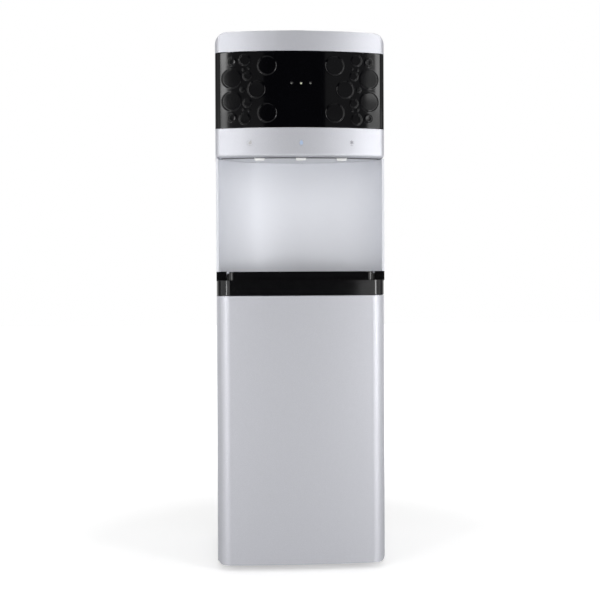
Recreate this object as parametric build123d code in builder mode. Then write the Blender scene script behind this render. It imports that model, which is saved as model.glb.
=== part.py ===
from build123d import *
import os
from math import acos, cos, degrees, hypot, pi, radians, sin, sqrt

# A free-standing top-loading water dispenser, in millimetres.
# X runs to the viewer's right, Y runs to the back, Z is up.
# The origin is on the floor, under the centre of the whole outline.

os.makedirs("parts", exist_ok=True)

# Widths and depths
head_width = 306.0
body_width = 304.0
overall_depth = 320.0
condenser_space = 42.0
head_bow = 27.5
head_corner = 14.0
body_setback = 8.0
body_bow = 8.0
body_corner = 26.0
door_depth = 40.0
door_standoff = 3.6

# Heights, stacked from the floor
foot_height = 9.5
door_gap = 0.8
door_height = 482.5
band_gap = 0.9
band_height = 27.0
tray_height = 15.5
alcove_height = 203.3
panel_height = 53.2
fascia_height = 136.2
cap_height = 35.5
collar_rise = 17.6

# Walls and clearances
shell_wall = 2.5
sheet = 1.0
seam = 0.3
slide_gap = 0.2
pin_clearance = 0.05

# Head
cap_corner = 21.0
fascia_wrap = 62.0
fascia_wall = 3.0
disc_rise = 1.2
lip_depth = 10.5
lip_radius = 6.0
lamp_pitch = 17.0
lamp_radius = 1.5
lamp_height = 10.0
icon_pitch = 91.0
icon_radius = 5.5
icon_depth = 0.6

# Alcove and drip tray
alcove_half = 148.0
alcove_depth = 105.0
alcove_setback = 29.0
tray_half = 133.0
tray_setback = 17.0
tray_corner = 12.0
tray_rim_drop = 3.7
tray_wall = 2.0
grille_thickness = 3.0
grille_gap = 0.3
arm_setback = 30.0
slot_pitch = 9.0
slot_bar = 4.0
stud_pitch = 65.0
stud_setback = 102.0

# Dispensing stations
station_pitch = 73.9
lever_width = 18.0
lever_thickness = 3.5
lever_toe = 4.3
lever_back = 13.0
lever_arm = 35.5
lever_angle = 8.0
trunnion_radius = 2.0
plunger_radius = 3.0
plunger_arm = 18.0
plunger_length = 22.0
tap_radius = 12.0
tap_length = 41.0
nozzle_radius = 7.0
nozzle_offset = 22.0
nozzle_drop = 2.5

# Bottle seat and cold tank
bottle_y = -10.0
collar_radius = 67.0
collar_hole = 63.0
neck_radius = 29.5
neck_depth = 57.0
spike_radius = 11.0
tank_radius = 75.0
tank_height = 123.0
tank_wall = 0.8
foam_wall = 19.0
coil_tube = 3.0
coil_pitch = 9.0
coil_turns = 9

# Hot tank
hot_y = 48.0
hot_radius = 45.0
hot_height = 150.0
jacket_radius = 60.0
jacket_cavity = 52.0
jacket_base = 20.0

# Machine space
machine_height = 196.0
compressor_x = -10.0
compressor_y = 45.0
compressor_half_x = 68.0
compressor_half_y = 58.0
compressor_height = 130.0
mount_height = 15.0
wire_radius = 0.8
condenser_tube_radius = 2.5
condenser_passes = 16
condenser_pitch = 30.0
condenser_half = 128.0
wire_count = 24

# Levels and planes that follow from them
front = -overall_depth / 2
back = overall_depth / 2
rear = back - condenser_space
body_front = front + body_setback
door_rear = body_front + door_depth
case_front = door_rear + door_standoff
door_base = foot_height + door_gap
door_top = door_base + door_height
band_base = door_top + band_gap
band_top = band_base + band_height
tray_top = band_top + tray_height
ceiling = tray_top + alcove_height
panel_top = ceiling + panel_height
fascia_top = panel_top + fascia_height
case_top = fascia_top + cap_height
collar_top = case_top + collar_rise
fascia_back = front + fascia_wrap
alcove_front = -front - alcove_setback
tray_front = -front - tray_setback
arm_front = -front - arm_setback
stud_y = front + stud_setback
stations = {"hot": -station_pitch, "normal": 0.0, "cold": station_pitch}
head_arc = ((head_width / 2) ** 2 + head_bow**2) / (2 * head_bow)


def head_face(x):
    """The Y of the head's bowed front at a distance x from the middle."""
    return front + head_arc - sqrt(head_arc**2 - x**2)


def bowed_outline(width, near, far, bow, corner, inset=0.0, far_corner=0.0):
    """A plan outline with a bowed front, rounded front corners and straight sides."""
    half = width / 2
    with BuildSketch(mode=Mode.PRIVATE) as outline:
        with BuildLine():
            ThreePointArc((-half, near + bow), (0, near), (half, near + bow))
            Polyline((half, near + bow), (half, far), (-half, far), (-half, near + bow))
        make_face()
        fillet(outline.vertices().group_by(Axis.Y)[0], radius=corner)
        if far_corner:
            fillet(outline.vertices().group_by(Axis.Y)[-1], radius=far_corner)
        if inset:
            offset(amount=-inset, kind=Kind.INTERSECTION, mode=Mode.REPLACE)
    return outline.sketch


def rounded_block(outline, half, base, top, base_radius, top_radius):
    """An outline raised from base to top, with its corners rounded as seen from the front."""
    with BuildPart(mode=Mode.PRIVATE) as block:
        with BuildSketch(Plane.XY.offset(base)):
            add(outline)
        extrude(amount=top - base)
        with BuildSketch(Plane.XZ) as face:
            with Locations((0, (base + top) / 2)):
                Rectangle(2 * half, top - base)
            if base_radius:
                fillet(face.vertices().group_by(Axis.Y)[0], radius=base_radius)
            if top_radius:
                fillet(face.vertices().group_by(Axis.Y)[-1], radius=top_radius)
        extrude(amount=overall_depth, both=True, mode=Mode.INTERSECT)
    return block.part


def box_between(low, high):
    """A box from its lowest corner to its highest corner."""
    size = [b - a for a, b in zip(low, high)]
    middle = [(a + b) / 2 for a, b in zip(low, high)]
    with BuildPart(mode=Mode.PRIVATE) as block:
        with Locations(tuple(middle)):
            Box(*size)
    return block.part


def tube_along(points, radii, radius):
    """A round rod along straight runs joined by tangent arcs."""
    with BuildPart(mode=Mode.PRIVATE) as rod:
        with BuildLine() as route:
            if radii:
                FilletPolyline(*points, radius=radii)
            else:
                Polyline(*points)
        start = route.wires()[0]
        with BuildSketch(Plane(origin=start @ 0, z_dir=start % 0)):
            Circle(radius)
        sweep(path=start)
    return rod.part


# Head shell: top cap and side skirts in one moulding
head_outline = bowed_outline(head_width, front, rear, head_bow, head_corner)
head_inner = bowed_outline(head_width, front, rear, head_bow, head_corner, inset=shell_wall)
head_outer_block = rounded_block(head_outline, head_width / 2, ceiling, case_top, 0, cap_corner)
head_inner_block = rounded_block(
    head_inner, head_width / 2 - shell_wall, ceiling, case_top - shell_wall, 0, cap_corner - shell_wall
)
cover_half = 138.0
cover_top = case_top - 24.0
cover_overlap = 6.0
cover_wall = 2.0
cover_face = rear - shell_wall - slide_gap
screw_head = 3.5
screw_hole = 1.8
cover_screws = [
    (x, z)
    for x in (-cover_half - 3, cover_half + 3)
    for z in (ceiling + 30, (ceiling + cover_top) / 2, cover_top - 20)
]

with BuildPart() as head_shell:
    add(head_outer_block)
    add(head_inner_block, mode=Mode.SUBTRACT)
    add(
        box_between((-head_width, front - 1, ceiling - 1), (head_width, fascia_back, fascia_top)),
        mode=Mode.SUBTRACT,
    )
    with Locations((0, bottle_y, case_top)):
        Cylinder(collar_hole, 4 * shell_wall, mode=Mode.SUBTRACT)
    add(
        box_between((-cover_half, rear - 2 * shell_wall, ceiling - 1), (cover_half, rear + 1, cover_top)),
        mode=Mode.SUBTRACT,
    )
    with BuildSketch(Plane.XZ.offset(-rear)):
        with Locations(*cover_screws):
            Circle(screw_hole)
    extrude(amount=2 * shell_wall, mode=Mode.SUBTRACT)
head_shell.part.label = "head_shell"
export_step(head_shell.part, "parts/head_shell.step")

# Rear cover of the head, behind its rim, with vent slots and the switch window
switch_x = -92.0
switch_z = ceiling + 60.0
switch_plate_width = 52.0
switch_plate_height = 34.0
with BuildPart() as rear_cover:
    add(
        box_between(
            (-cover_half - cover_overlap, cover_face - cover_wall, ceiling + seam + 3.2),
            (cover_half + cover_overlap, cover_face, cover_top + cover_overlap),
        )
    )
    with BuildSketch(Plane.XZ.offset(-cover_face)):
        with Locations(*cover_screws):
            Circle(screw_hole)
        with Locations((30, cover_top - 50)):
            with GridLocations(0, 9, 1, 8):
                SlotOverall(150, 4)
        with Locations((switch_x, switch_z)):
            Rectangle(switch_plate_width - 8, switch_plate_height - 8)
    extrude(amount=2 * cover_wall, mode=Mode.SUBTRACT)
rear_cover.part.label = "rear_cover"
export_step(rear_cover.part, "parts/rear_cover.step")

# Fascia: a band that wraps both front corners, with relief discs and lamp holes
# Each disc is (distance from the middle, height from the band's centre line, radius)
mirrored_discs = [
    (122.0, 50.0, 8.0),
    (123.0, 20.2, 18.0),
    (100.0, 52.5, 10.4),
    (95.3, 24.0, 8.2),
    (60.3, 42.0, 17.4),
    (102.0, 35.6, 2.3),
    (92.0, 37.4, 1.8),
]
middle_discs = [(79.1, 0.0, 16.1), (104.1, 0.0, 4.7)]
fascia_middle = (panel_top + fascia_top) / 2
lamp_z = fascia_middle + lamp_height
lamp_spots = [(step * lamp_pitch, lamp_z) for step in (-1, 0, 1)]
board_face = front + 14.0
board_half = 58.0
board_tall = 46.0
board_bosses = [(x, fascia_middle + z) for x in (-50, 50) for z in (-17, 17)]
fascia_inner = bowed_outline(head_width, front, rear, head_bow, head_corner, inset=fascia_wall)
fascia_low = panel_top + seam / 2
fascia_high = fascia_top - seam / 2
with BuildSketch() as disc_reach:
    add(head_outline)
    offset(amount=disc_rise, kind=Kind.ARC, mode=Mode.REPLACE)

with BuildPart() as discs:
    with BuildSketch(Plane.XY.offset(fascia_low)):
        add(disc_reach.sketch)
        add(head_outline, mode=Mode.SUBTRACT)
    extrude(amount=fascia_high - fascia_low)
    with BuildSketch(Plane.XZ):
        for side in (-1, 1):
            for across, up, radius in middle_discs:
                with Locations((side * across, fascia_middle + up)):
                    Circle(radius)
            for across, up, radius in mirrored_discs:
                with Locations((side * across, fascia_middle + up), (side * across, fascia_middle - up)):
                    Circle(radius)
    extrude(amount=overall_depth, mode=Mode.INTERSECT)

with BuildPart() as fascia:
    with BuildSketch(Plane.XY.offset(fascia_low)):
        add(head_outline)
        add(fascia_inner, mode=Mode.SUBTRACT)
    extrude(amount=fascia_high - fascia_low)
    add(
        box_between((-head_width, fascia_back - seam, ceiling), (head_width, back, case_top)),
        mode=Mode.SUBTRACT,
    )
    add(discs.part)
    with BuildSketch(Plane.XZ.offset(-board_face)):
        with Locations(*board_bosses):
            Circle(3)
    extrude(amount=board_face - head_face(50) - fascia_wall / 2)
    with BuildSketch(Plane.XZ):
        with Locations(*lamp_spots):
            Circle(lamp_radius + slide_gap / 2)
    extrude(amount=overall_depth, mode=Mode.SUBTRACT)
fascia.part.label = "fascia"
export_step(fascia.part, "parts/fascia.step")

# Indicator lamps: three light pipes that stand on the board
with BuildPart() as led_lenses:
    for x, z in lamp_spots:
        with BuildSketch(Plane.XZ.offset(-board_face)):
            with Locations((x, z)):
                Circle(lamp_radius)
        extrude(amount=board_face - head_face(x))
led_lenses.part.label = "led_lenses"
export_step(led_lenses.part, "parts/led_lenses.step")

# Control board behind the fascia, with its larger components
# Each component is (across, up, width, height, depth) from the board's middle
board_thickness = 1.6
board_components = [
    (-38, -10, 18, 16, 12),
    (-12, -12, 12, 10, 9),
    (20, -8, 24, 12, 6),
    (44, 8, 10, 18, 8),
]
with BuildPart() as control_board:
    add(
        box_between(
            (-board_half, board_face, fascia_middle - board_tall / 2),
            (board_half, board_face + board_thickness, fascia_middle + board_tall / 2),
        )
    )
    for x, z, wide, tall, deep in board_components:
        low = (x - wide / 2, board_face + board_thickness, fascia_middle + z - tall / 2)
        high = (x + wide / 2, board_face + board_thickness + deep, fascia_middle + z + tall / 2)
        add(box_between(low, high))
control_board.part.label = "control_board"
export_step(control_board.part, "parts/control_board.step")

# Lower panel: the silver strip, with its lower edge turned under
panel_low = ceiling + 1.0
panel_high = panel_top - seam / 2
icon_z = ceiling + 26.4
lip_inner = bowed_outline(head_width, front, rear, head_bow, head_corner, inset=lip_depth)
icon_floor = bowed_outline(head_width, front, rear, head_bow, head_corner, inset=icon_depth)
icon_spots = [(step * icon_pitch, icon_z) for step in (-1, 0, 1)]


def icon_discs(radius):
    """Thin round tiles that follow the strip's bowed face."""
    with BuildPart(mode=Mode.PRIVATE) as tiles:
        with BuildSketch(Plane.XY.offset(icon_z - 2 * radius)):
            add(head_outline)
            add(icon_floor, mode=Mode.SUBTRACT)
        extrude(amount=4 * radius)
        with BuildSketch(Plane.XZ.offset(head_width / 4)):
            with Locations(*icon_spots):
                Circle(radius)
        extrude(amount=overall_depth, mode=Mode.INTERSECT)
    return tiles.part


with BuildPart() as lower_panel:
    with BuildSketch(Plane.XY.offset(panel_low)):
        add(head_outline)
    extrude(amount=panel_high - panel_low)
    fillet(lower_panel.edges().group_by(Axis.Z)[0], radius=lip_radius)
    with BuildSketch(Plane.XY.offset(panel_low + shell_wall)):
        add(head_inner)
    extrude(amount=panel_height, mode=Mode.SUBTRACT)
    with BuildSketch(Plane.XY.offset(panel_low)):
        add(lip_inner)
    extrude(amount=panel_height, mode=Mode.SUBTRACT)
    add(
        box_between((-head_width, fascia_back - seam, ceiling - 1), (head_width, back, case_top)),
        mode=Mode.SUBTRACT,
    )
    add(icon_discs(icon_radius + slide_gap / 2), mode=Mode.SUBTRACT)
lower_panel.part.label = "lower_panel"
export_step(lower_panel.part, "parts/lower_panel.step")

# Icon marks: round tiles set flush in the strip
with BuildPart() as icon_marks:
    add(icon_discs(icon_radius))
icon_marks.part.label = "icon_marks"
export_step(icon_marks.part, "parts/icon_marks.step")

# Dispensing levers, taps and plungers, one set at each station
pivot_z = ceiling + lever_arm
plunger_z = pivot_z - plunger_arm
lever_reach = lever_arm + lever_toe
ear_thickness = 2.5
ear_gap = 0.5
tap_gap = 9.0
plunger_gap = 0.3
lever_swing = lever_reach * sin(radians(lever_angle))


def lever_face(x):
    """The Y of the front of the lever at a station."""
    return head_face(x) + lever_back


for station, x in stations.items():
    blade = lever_face(x)
    pivot_y = blade + lever_thickness / 2
    tap_y = blade + tap_gap
    with BuildPart() as lever:
        with BuildSketch(Plane.YZ.offset(x)):
            with BuildLine():
                Polyline(
                    (blade, ceiling - lever_toe),
                    (blade + lever_thickness, ceiling - lever_toe),
                    (blade + lever_thickness, pivot_z),
                    (blade, pivot_z),
                    close=True,
                )
            make_face()
            with Locations((pivot_y, pivot_z)):
                Circle(4.5)
        extrude(amount=lever_width / 2, both=True)
        toe = lever.edges().filter_by(Axis.Y).group_by(Axis.Z)[0]
        fillet(toe, radius=1.5)
        with BuildSketch(Plane.YZ.offset(x)):
            with Locations((pivot_y, pivot_z)):
                Circle(trunnion_radius)
        extrude(amount=lever_width / 2 + ear_gap + ear_thickness, both=True)
    lever.part.label = f"lever_{station}"
    export_step(lever.part, f"parts/lever_{station}.step")

    with BuildPart() as plunger:
        with BuildSketch(Plane.YZ.offset(x)):
            with BuildLine():
                tip = blade + lever_thickness + plunger_gap
                Polyline(
                    (tip + plunger_radius, plunger_z + plunger_radius),
                    (tip + plunger_length, plunger_z + plunger_radius),
                    (tip + plunger_length, plunger_z),
                    (tip, plunger_z),
                )
                RadiusArc(
                    (tip, plunger_z), (tip + plunger_radius, plunger_z + plunger_radius), plunger_radius
                )
            make_face()
        revolve(axis=Axis((x, 0, plunger_z), (0, 1, 0)))
    plunger.part.label = f"plunger_{station}"
    export_step(plunger.part, f"parts/plunger_{station}.step")

# Tap bodies: a barrel, a nozzle through the ceiling and two ears that hold the lever
plunger_stroke = plunger_arm * radians(lever_angle)
plunger_room = plunger_length + plunger_stroke + 2.0
nozzle_bore = 4.5
with BuildPart() as tap_bodies:
    for x in stations.values():
        blade = lever_face(x)
        pivot_y = blade + lever_thickness / 2
        tap_y = blade + tap_gap
        nozzle_y = blade + nozzle_offset
        with BuildSketch(Plane.XZ.offset(-tap_y)):
            with Locations((x, plunger_z)):
                Circle(tap_radius)
        extrude(amount=-tap_length)
        with BuildSketch(Plane.XY.offset(ceiling - nozzle_drop)):
            with Locations((x, nozzle_y)):
                Circle(nozzle_radius)
        extrude(amount=plunger_z - ceiling + nozzle_drop)
        for side in (-1, 1):
            ear_x = x + side * (lever_width / 2 + ear_gap + ear_thickness / 2)
            with BuildSketch(Plane.YZ.offset(ear_x)):
                with Locations((pivot_y, pivot_z)):
                    Circle(5)
                with BuildLine():
                    Polyline(
                        (pivot_y - 5, pivot_z),
                        (pivot_y + 5, pivot_z),
                        (tap_y + 12, plunger_z + 2),
                        (tap_y + 12, plunger_z - 2),
                        (tap_y + 0.5, plunger_z - 2),
                        (tap_y + 0.5, plunger_z + 4),
                        close=True,
                    )
                make_face()
            extrude(amount=ear_thickness / 2, both=True)
        with BuildSketch(Plane.YZ.offset(x)):
            with Locations((pivot_y, pivot_z)):
                Circle(trunnion_radius + pin_clearance)
        extrude(amount=lever_width, both=True, mode=Mode.SUBTRACT)
        plunger_tip = blade + lever_thickness + plunger_gap
        with BuildSketch(Plane.XZ.offset(-tap_y)):
            with Locations((x, plunger_z)):
                Circle(plunger_radius + pin_clearance)
        extrude(amount=-(plunger_tip + plunger_room - tap_y), mode=Mode.SUBTRACT)
        with BuildSketch(Plane.XY.offset(ceiling - nozzle_drop)):
            with Locations((x, nozzle_y)):
                Circle(nozzle_bore)
        extrude(amount=plunger_z - plunger_radius - 1 - ceiling + nozzle_drop, mode=Mode.SUBTRACT)
        with BuildSketch(Plane.XZ.offset(-(tap_y + tap_length))):
            with Locations((x, plunger_z)):
                Circle(4.0)
                Circle(2.8, mode=Mode.SUBTRACT)
        extrude(amount=-6)
tap_bodies.part.label = "tap_bodies"
export_step(tap_bodies.part, "parts/tap_bodies.step")

# Head underside: the alcove's ceiling, with lever slots, nozzle holes, a service opening and posts
underside_wall = 3.0
shelf_z = ceiling + 44.5
underside_rear = cover_face - cover_wall - seam
posts = [(x, y) for x in (-124, 124) for y in (front + 90, rear - 28)]
lip_edge = bowed_outline(head_width, front, rear, head_bow, head_corner, inset=lip_depth + seam)
line_x = -141.0
line_y = rear - 14.0
line_notch = 20.0
with BuildPart() as head_underside:
    with BuildSketch(Plane.XY.offset(ceiling)):
        add(lip_edge)
        with Locations((0, (fascia_back + underside_rear) / 2 + seam)):
            Rectangle(head_width - 2 * shell_wall - 2 * seam, underside_rear - fascia_back)
        with Locations((0, underside_rear + 50)):
            Rectangle(head_width, 100, mode=Mode.SUBTRACT)
        with Locations((0, 45)):
            Rectangle(220, 100, mode=Mode.SUBTRACT)
        with Locations((line_x, line_y)):
            Rectangle(line_notch, line_notch, mode=Mode.SUBTRACT)
    extrude(amount=underside_wall)
    with BuildSketch(Plane.XY.offset(ceiling)):
        for x in stations.values():
            blade = lever_face(x)
            slot_end = blade + lever_thickness + lever_swing + 1
            with Locations((x, (blade - 0.6 + slot_end) / 2)):
                Rectangle(lever_width + 1.6, slot_end - blade + 0.6)
            with Locations((x, blade + nozzle_offset)):
                Circle(nozzle_radius + seam)
    extrude(amount=underside_wall, mode=Mode.SUBTRACT)
    with BuildSketch(Plane.XY.offset(ceiling)):
        with Locations(*posts):
            Circle(7)
    extrude(amount=shelf_z - ceiling)
head_underside.part.label = "head_underside"
export_step(head_underside.part, "parts/head_underside.step")

# Tank shelf: a steel plate on the posts that carries the cold tank in its foam
tank_z = shelf_z + sheet + foam_wall
tank_outlets = [(0.0, bottle_y - 45), (40.0, bottle_y - 35), (50.0, bottle_y + 35)]
outlet_radius = 4.0
with BuildPart() as tank_shelf:
    add(box_between((-132, front + 60, shelf_z), (132, underside_rear - 4, shelf_z + sheet)))
    with BuildSketch(Plane.XY.offset(shelf_z)):
        with Locations(*tank_outlets):
            Circle(outlet_radius + 1)
    extrude(amount=sheet, mode=Mode.SUBTRACT)
tank_shelf.part.label = "tank_shelf"
export_step(tank_shelf.part, "parts/tank_shelf.step")

# Alcove liner: a smooth concave wall with a narrow front rim and short side returns
liner_wall = 2.5
rim_half = body_width / 2


def alcove_curve(grow):
    """Half of an ellipse with a straight front, grown outwards."""
    with BuildSketch(mode=Mode.PRIVATE) as half_ellipse:
        with BuildLine():
            EllipticalCenterArc(
                (0, -alcove_front), alcove_half + grow, alcove_depth + grow, start_angle=0, arc_size=180
            )
            Line((-alcove_half - grow, -alcove_front), (alcove_half + grow, -alcove_front))
        make_face()
    return half_ellipse.sketch


with BuildSketch() as liner_plan:
    add(alcove_curve(liner_wall))
    for side in (-1, 1):
        with Locations((side * (rim_half + alcove_half - 1) / 2, -alcove_front + liner_wall / 2)):
            Rectangle(rim_half - alcove_half + 1, liner_wall)
        with Locations((side * (rim_half - liner_wall / 2), (-alcove_front + case_front - slide_gap) / 2)):
            Rectangle(liner_wall, alcove_front + case_front - slide_gap)
    add(alcove_curve(0), mode=Mode.SUBTRACT)

arm_half = tray_half + 1.5
with BuildPart() as alcove_liner:
    with BuildSketch(Plane.XY.offset(tray_top)):
        add(liner_plan.sketch)
    extrude(amount=ceiling - tray_top)
    with BuildSketch(Plane.XY.offset(band_top)):
        add(liner_plan.sketch)
        with Locations((0, 0)):
            Rectangle(2 * arm_half - 0.4, overall_depth, mode=Mode.INTERSECT)
    extrude(amount=tray_top - band_top)
alcove_liner.part.label = "alcove_liner"
export_step(alcove_liner.part, "parts/alcove_liner.step")

# Drip tray: its plan is a straight front and sides closed by the alcove's curve
tray_clearance = 1.5
tray_base = band_top + slide_gap
rim_z = tray_top - tray_rim_drop
grille_z = rim_z - grille_thickness
ledge = 2.6
front_lip = 3.0


def tray_plan(amount):
    """The tray's outline drawn in by an amount."""
    half = tray_half - amount
    across = alcove_half - tray_clearance - amount
    deep = alcove_depth - tray_clearance - amount
    turn = acos(half / across)
    side_y = -alcove_front + deep * sin(turn)
    near = -tray_front + amount
    with BuildSketch(mode=Mode.PRIVATE) as plan:
        with BuildLine():
            EllipticalCenterArc(
                (0, -alcove_front), across, deep, start_angle=degrees(turn), arc_size=180 - 2 * degrees(turn)
            )
            Polyline((-half, side_y), (-half, near), (half, near), (half, side_y))
        make_face()
        fillet(plan.vertices().group_by(Axis.Y)[0], radius=tray_corner - amount)
    return plan.sketch


with BuildPart() as drip_tray:
    with BuildSketch(Plane.XY.offset(tray_base)):
        add(tray_plan(0))
    extrude(amount=tray_top - tray_base)
    add(
        box_between((-tray_half - 1, -tray_front + front_lip, rim_z), (tray_half + 1, 0, tray_top + 1)),
        mode=Mode.SUBTRACT,
    )
    with BuildSketch(Plane.XY.offset(grille_z)):
        add(tray_plan(tray_wall + grille_gap))
        with Locations((0, -tray_front)):
            Rectangle(2 * tray_half, 2 * front_lip, mode=Mode.SUBTRACT)
    extrude(amount=grille_thickness, mode=Mode.SUBTRACT)
    with BuildSketch(Plane.XY.offset(tray_base + tray_wall)):
        add(tray_plan(tray_wall + ledge))
    extrude(amount=tray_height, mode=Mode.SUBTRACT)
drip_tray.part.label = "drip_tray"
export_step(drip_tray.part, "parts/drip_tray.step")

# Drip grille: slotted plate that lies in the tray's rim, with three locating studs
stud_radius = 3.5
stud_rise = 1.2
stud_spots = [(step * stud_pitch, stud_y) for step in (-1, 0, 1)]
cross_bar_y = front + 60.0
with BuildSketch() as grille_slots:
    add(tray_plan(tray_wall + 8))
    with Locations(*stud_spots):
        Circle(stud_radius, mode=Mode.SUBTRACT)
    with GridLocations(slot_pitch, 0, 31, 1):
        Rectangle(slot_bar, 4 * alcove_depth, mode=Mode.SUBTRACT)
    with Locations((0, cross_bar_y), (0, stud_y)):
        Rectangle(2 * tray_half, slot_bar, mode=Mode.SUBTRACT)
with BuildPart() as drip_grille:
    with BuildSketch(Plane.XY.offset(grille_z)):
        add(tray_plan(tray_wall + 2 * grille_gap))
        with Locations((0, -tray_front)):
            Rectangle(2 * tray_half, 2 * (front_lip + grille_gap), mode=Mode.SUBTRACT)
        add(grille_slots.sketch, mode=Mode.SUBTRACT)
    extrude(amount=grille_thickness)
    with BuildSketch(Plane.XY.offset(rim_z)):
        with Locations(*stud_spots):
            Circle(stud_radius)
    extrude(amount=stud_rise)
drip_grille.part.label = "drip_grille"
export_step(drip_grille.part, "parts/drip_grille.step")

# Waist bezel: the black band, its shelf under the tray and two arms beside the tray
band_outline = bowed_outline(body_width, body_front, case_front, body_bow, body_corner)
band_inner = bowed_outline(body_width, body_front, case_front + 40, body_bow, body_corner, inset=shell_wall)
case_half = body_width / 2
inner_half = case_half - sheet - seam
deck_front = front + 140.0
arm_rear = front + 60.0
hinge_x = -139.0
hinge_y = door_rear - 13.0
with BuildPart() as waist_bezel:
    with BuildSketch(Plane.XY.offset(band_base)):
        add(band_outline)
    extrude(amount=band_height)
    with BuildSketch(Plane.XY.offset(band_base)):
        add(band_inner)
    extrude(amount=band_height - shell_wall, mode=Mode.SUBTRACT)
    add(
        box_between(
            (-inner_half, case_front - 1, band_top - shell_wall),
            (inner_half, deck_front - seam, band_top),
        )
    )
    for side in (-1, 1):
        outer, inner = side * case_half, side * arm_half
        add(
            box_between(
                (min(outer, inner), -arm_front, band_top - 1),
                (max(outer, inner), case_front - slide_gap, tray_top),
            )
        )
        outer = side * inner_half
        add(
            box_between(
                (min(outer, inner), case_front - 1, band_top - 1),
                (max(outer, inner), arm_rear, tray_top),
            )
        )
    add(
        box_between(
            (hinge_x - 1, case_front + 4, band_base + 2 + 2 * sheet),
            (hinge_x + 17, case_front + 22, band_top - 1),
        )
    )
waist_bezel.part.label = "waist_bezel"
export_step(waist_bezel.part, "parts/waist_bezel.step")

# Base plate: a shallow steel pan
pan_rise = 14.0
base_top = foot_height + 2 * sheet
foot_spots = [(x, y) for x in (-106, 106) for y in (front + 76, rear - 26)]
foot_radius = 15.0
with BuildPart() as base_plate:
    add(
        box_between(
            (-inner_half, case_front, foot_height),
            (inner_half, rear - 2 * sheet - seam, base_top + pan_rise),
        )
    )
    add(
        box_between(
            (-inner_half + 2 * sheet, case_front + 2 * sheet, base_top),
            (inner_half - 2 * sheet, rear - 4 * sheet - seam, base_top + pan_rise + 1),
        ),
        mode=Mode.SUBTRACT,
    )
base_plate.part.label = "base_plate"
export_step(base_plate.part, "parts/base_plate.step")

with BuildPart() as feet:
    with BuildSketch():
        with Locations(*foot_spots):
            Circle(foot_radius)
    extrude(amount=foot_height)
    chamfer(feet.edges().group_by(Axis.Z)[0], length=1.5)
feet.part.label = "feet"
export_step(feet.part, "parts/feet.step")

# Side panels: sheet steel with a return flange at the back
flange = 13.0
panel_screw_z = [60.0, 240.0, 420.0, 600.0, 720.0]
screw_x = case_half - flange / 2 - sheet
for name, side in (("left", -1), ("right", 1)):
    with BuildPart() as side_panel:
        with BuildSketch(Plane.XY.offset(foot_height)):
            with Locations((side * (case_half - sheet / 2), (case_front + rear - sheet) / 2)):
                Rectangle(sheet, rear - sheet - case_front)
            with Locations((side * (case_half - flange / 2), rear - 1.5 * sheet)):
                Rectangle(flange, sheet)
        extrude(amount=ceiling - foot_height)
        with BuildSketch(Plane.XZ.offset(-rear)):
            with Locations(*[(side * screw_x, z) for z in panel_screw_z]):
                Circle(screw_hole)
        extrude(amount=4 * sheet, mode=Mode.SUBTRACT)
    side_panel.part.label = f"side_panel_{name}"
    export_step(side_panel.part, f"parts/side_panel_{name}.step")

# Rear panel: sheet steel above the open machine space, with vents, drain and cord holes
drain_x = 95.0
gland_x = -95.0
port_z = machine_height + 19.0
drain_hole = 8.0
gland_hole = 7.0
upper_screws = [(side * screw_x, z) for side in (-1, 1) for z in panel_screw_z if z > machine_height]
with BuildPart() as rear_panel:
    add(box_between((-case_half, rear - sheet, machine_height), (case_half, rear, ceiling - seam)))
    with BuildSketch(Plane.XZ.offset(-rear)):
        with Locations(*upper_screws):
            Circle(screw_hole)
        with Locations((0, 640)):
            with GridLocations(72, 14, 3, 9):
                SlotOverall(54, 5)
        with Locations((drain_x, port_z)):
            Circle(drain_hole + seam)
        with Locations((gland_x, port_z)):
            Circle(gland_hole + seam)
    extrude(amount=2 * sheet, mode=Mode.SUBTRACT)
rear_panel.part.label = "rear_panel"
export_step(rear_panel.part, "parts/rear_panel.step")

# Case screws: pan heads on the back of the case and of the head
with BuildPart() as case_screws:
    for x, z in upper_screws + cover_screws:
        with BuildSketch(Plane.XZ.offset(-rear)):
            with Locations((x, z)):
                Circle(screw_head)
        extrude(amount=-2.0)
        with BuildSketch(Plane.XZ.offset(-rear)):
            with Locations((x, z)):
                Circle(screw_hole - 0.1)
        extrude(amount=7)
        with BuildSketch(Plane.XZ.offset(-rear - 2.0)):
            with Locations((x, z)):
                Rectangle(4, 0.9)
                Rectangle(0.9, 4)
        extrude(amount=1.0, mode=Mode.SUBTRACT)
case_screws.part.label = "case_screws"
export_step(case_screws.part, "parts/case_screws.step")

# Storage space, behind the door
store_half = 127.0
store_low = 46.0
store_high = door_top - 20.0
store_step = case_front + 80.0
store_back = rear - 14.0
liner_skin = 2.0
shelf_level = 330.0
ledge_depth = 4.0

# Mid deck: a plate behind the tray's shelf that carries the hot tank
with BuildPart() as mid_deck:
    add(
        box_between(
            (-inner_half, deck_front, band_top - 2 * sheet), (inner_half, rear - 2 * sheet - seam, band_top)
        )
    )
    with BuildSketch(Plane.XY.offset(band_top - 2 * sheet)):
        with Locations((line_x, line_y)):
            Rectangle(line_notch, line_notch)
        with Locations((drain_x, (store_back + liner_skin + rear - sheet) / 2)):
            Circle(5)
    extrude(amount=2 * sheet, mode=Mode.SUBTRACT)
mid_deck.part.label = "mid_deck"
export_step(mid_deck.part, "parts/mid_deck.step")

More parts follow.
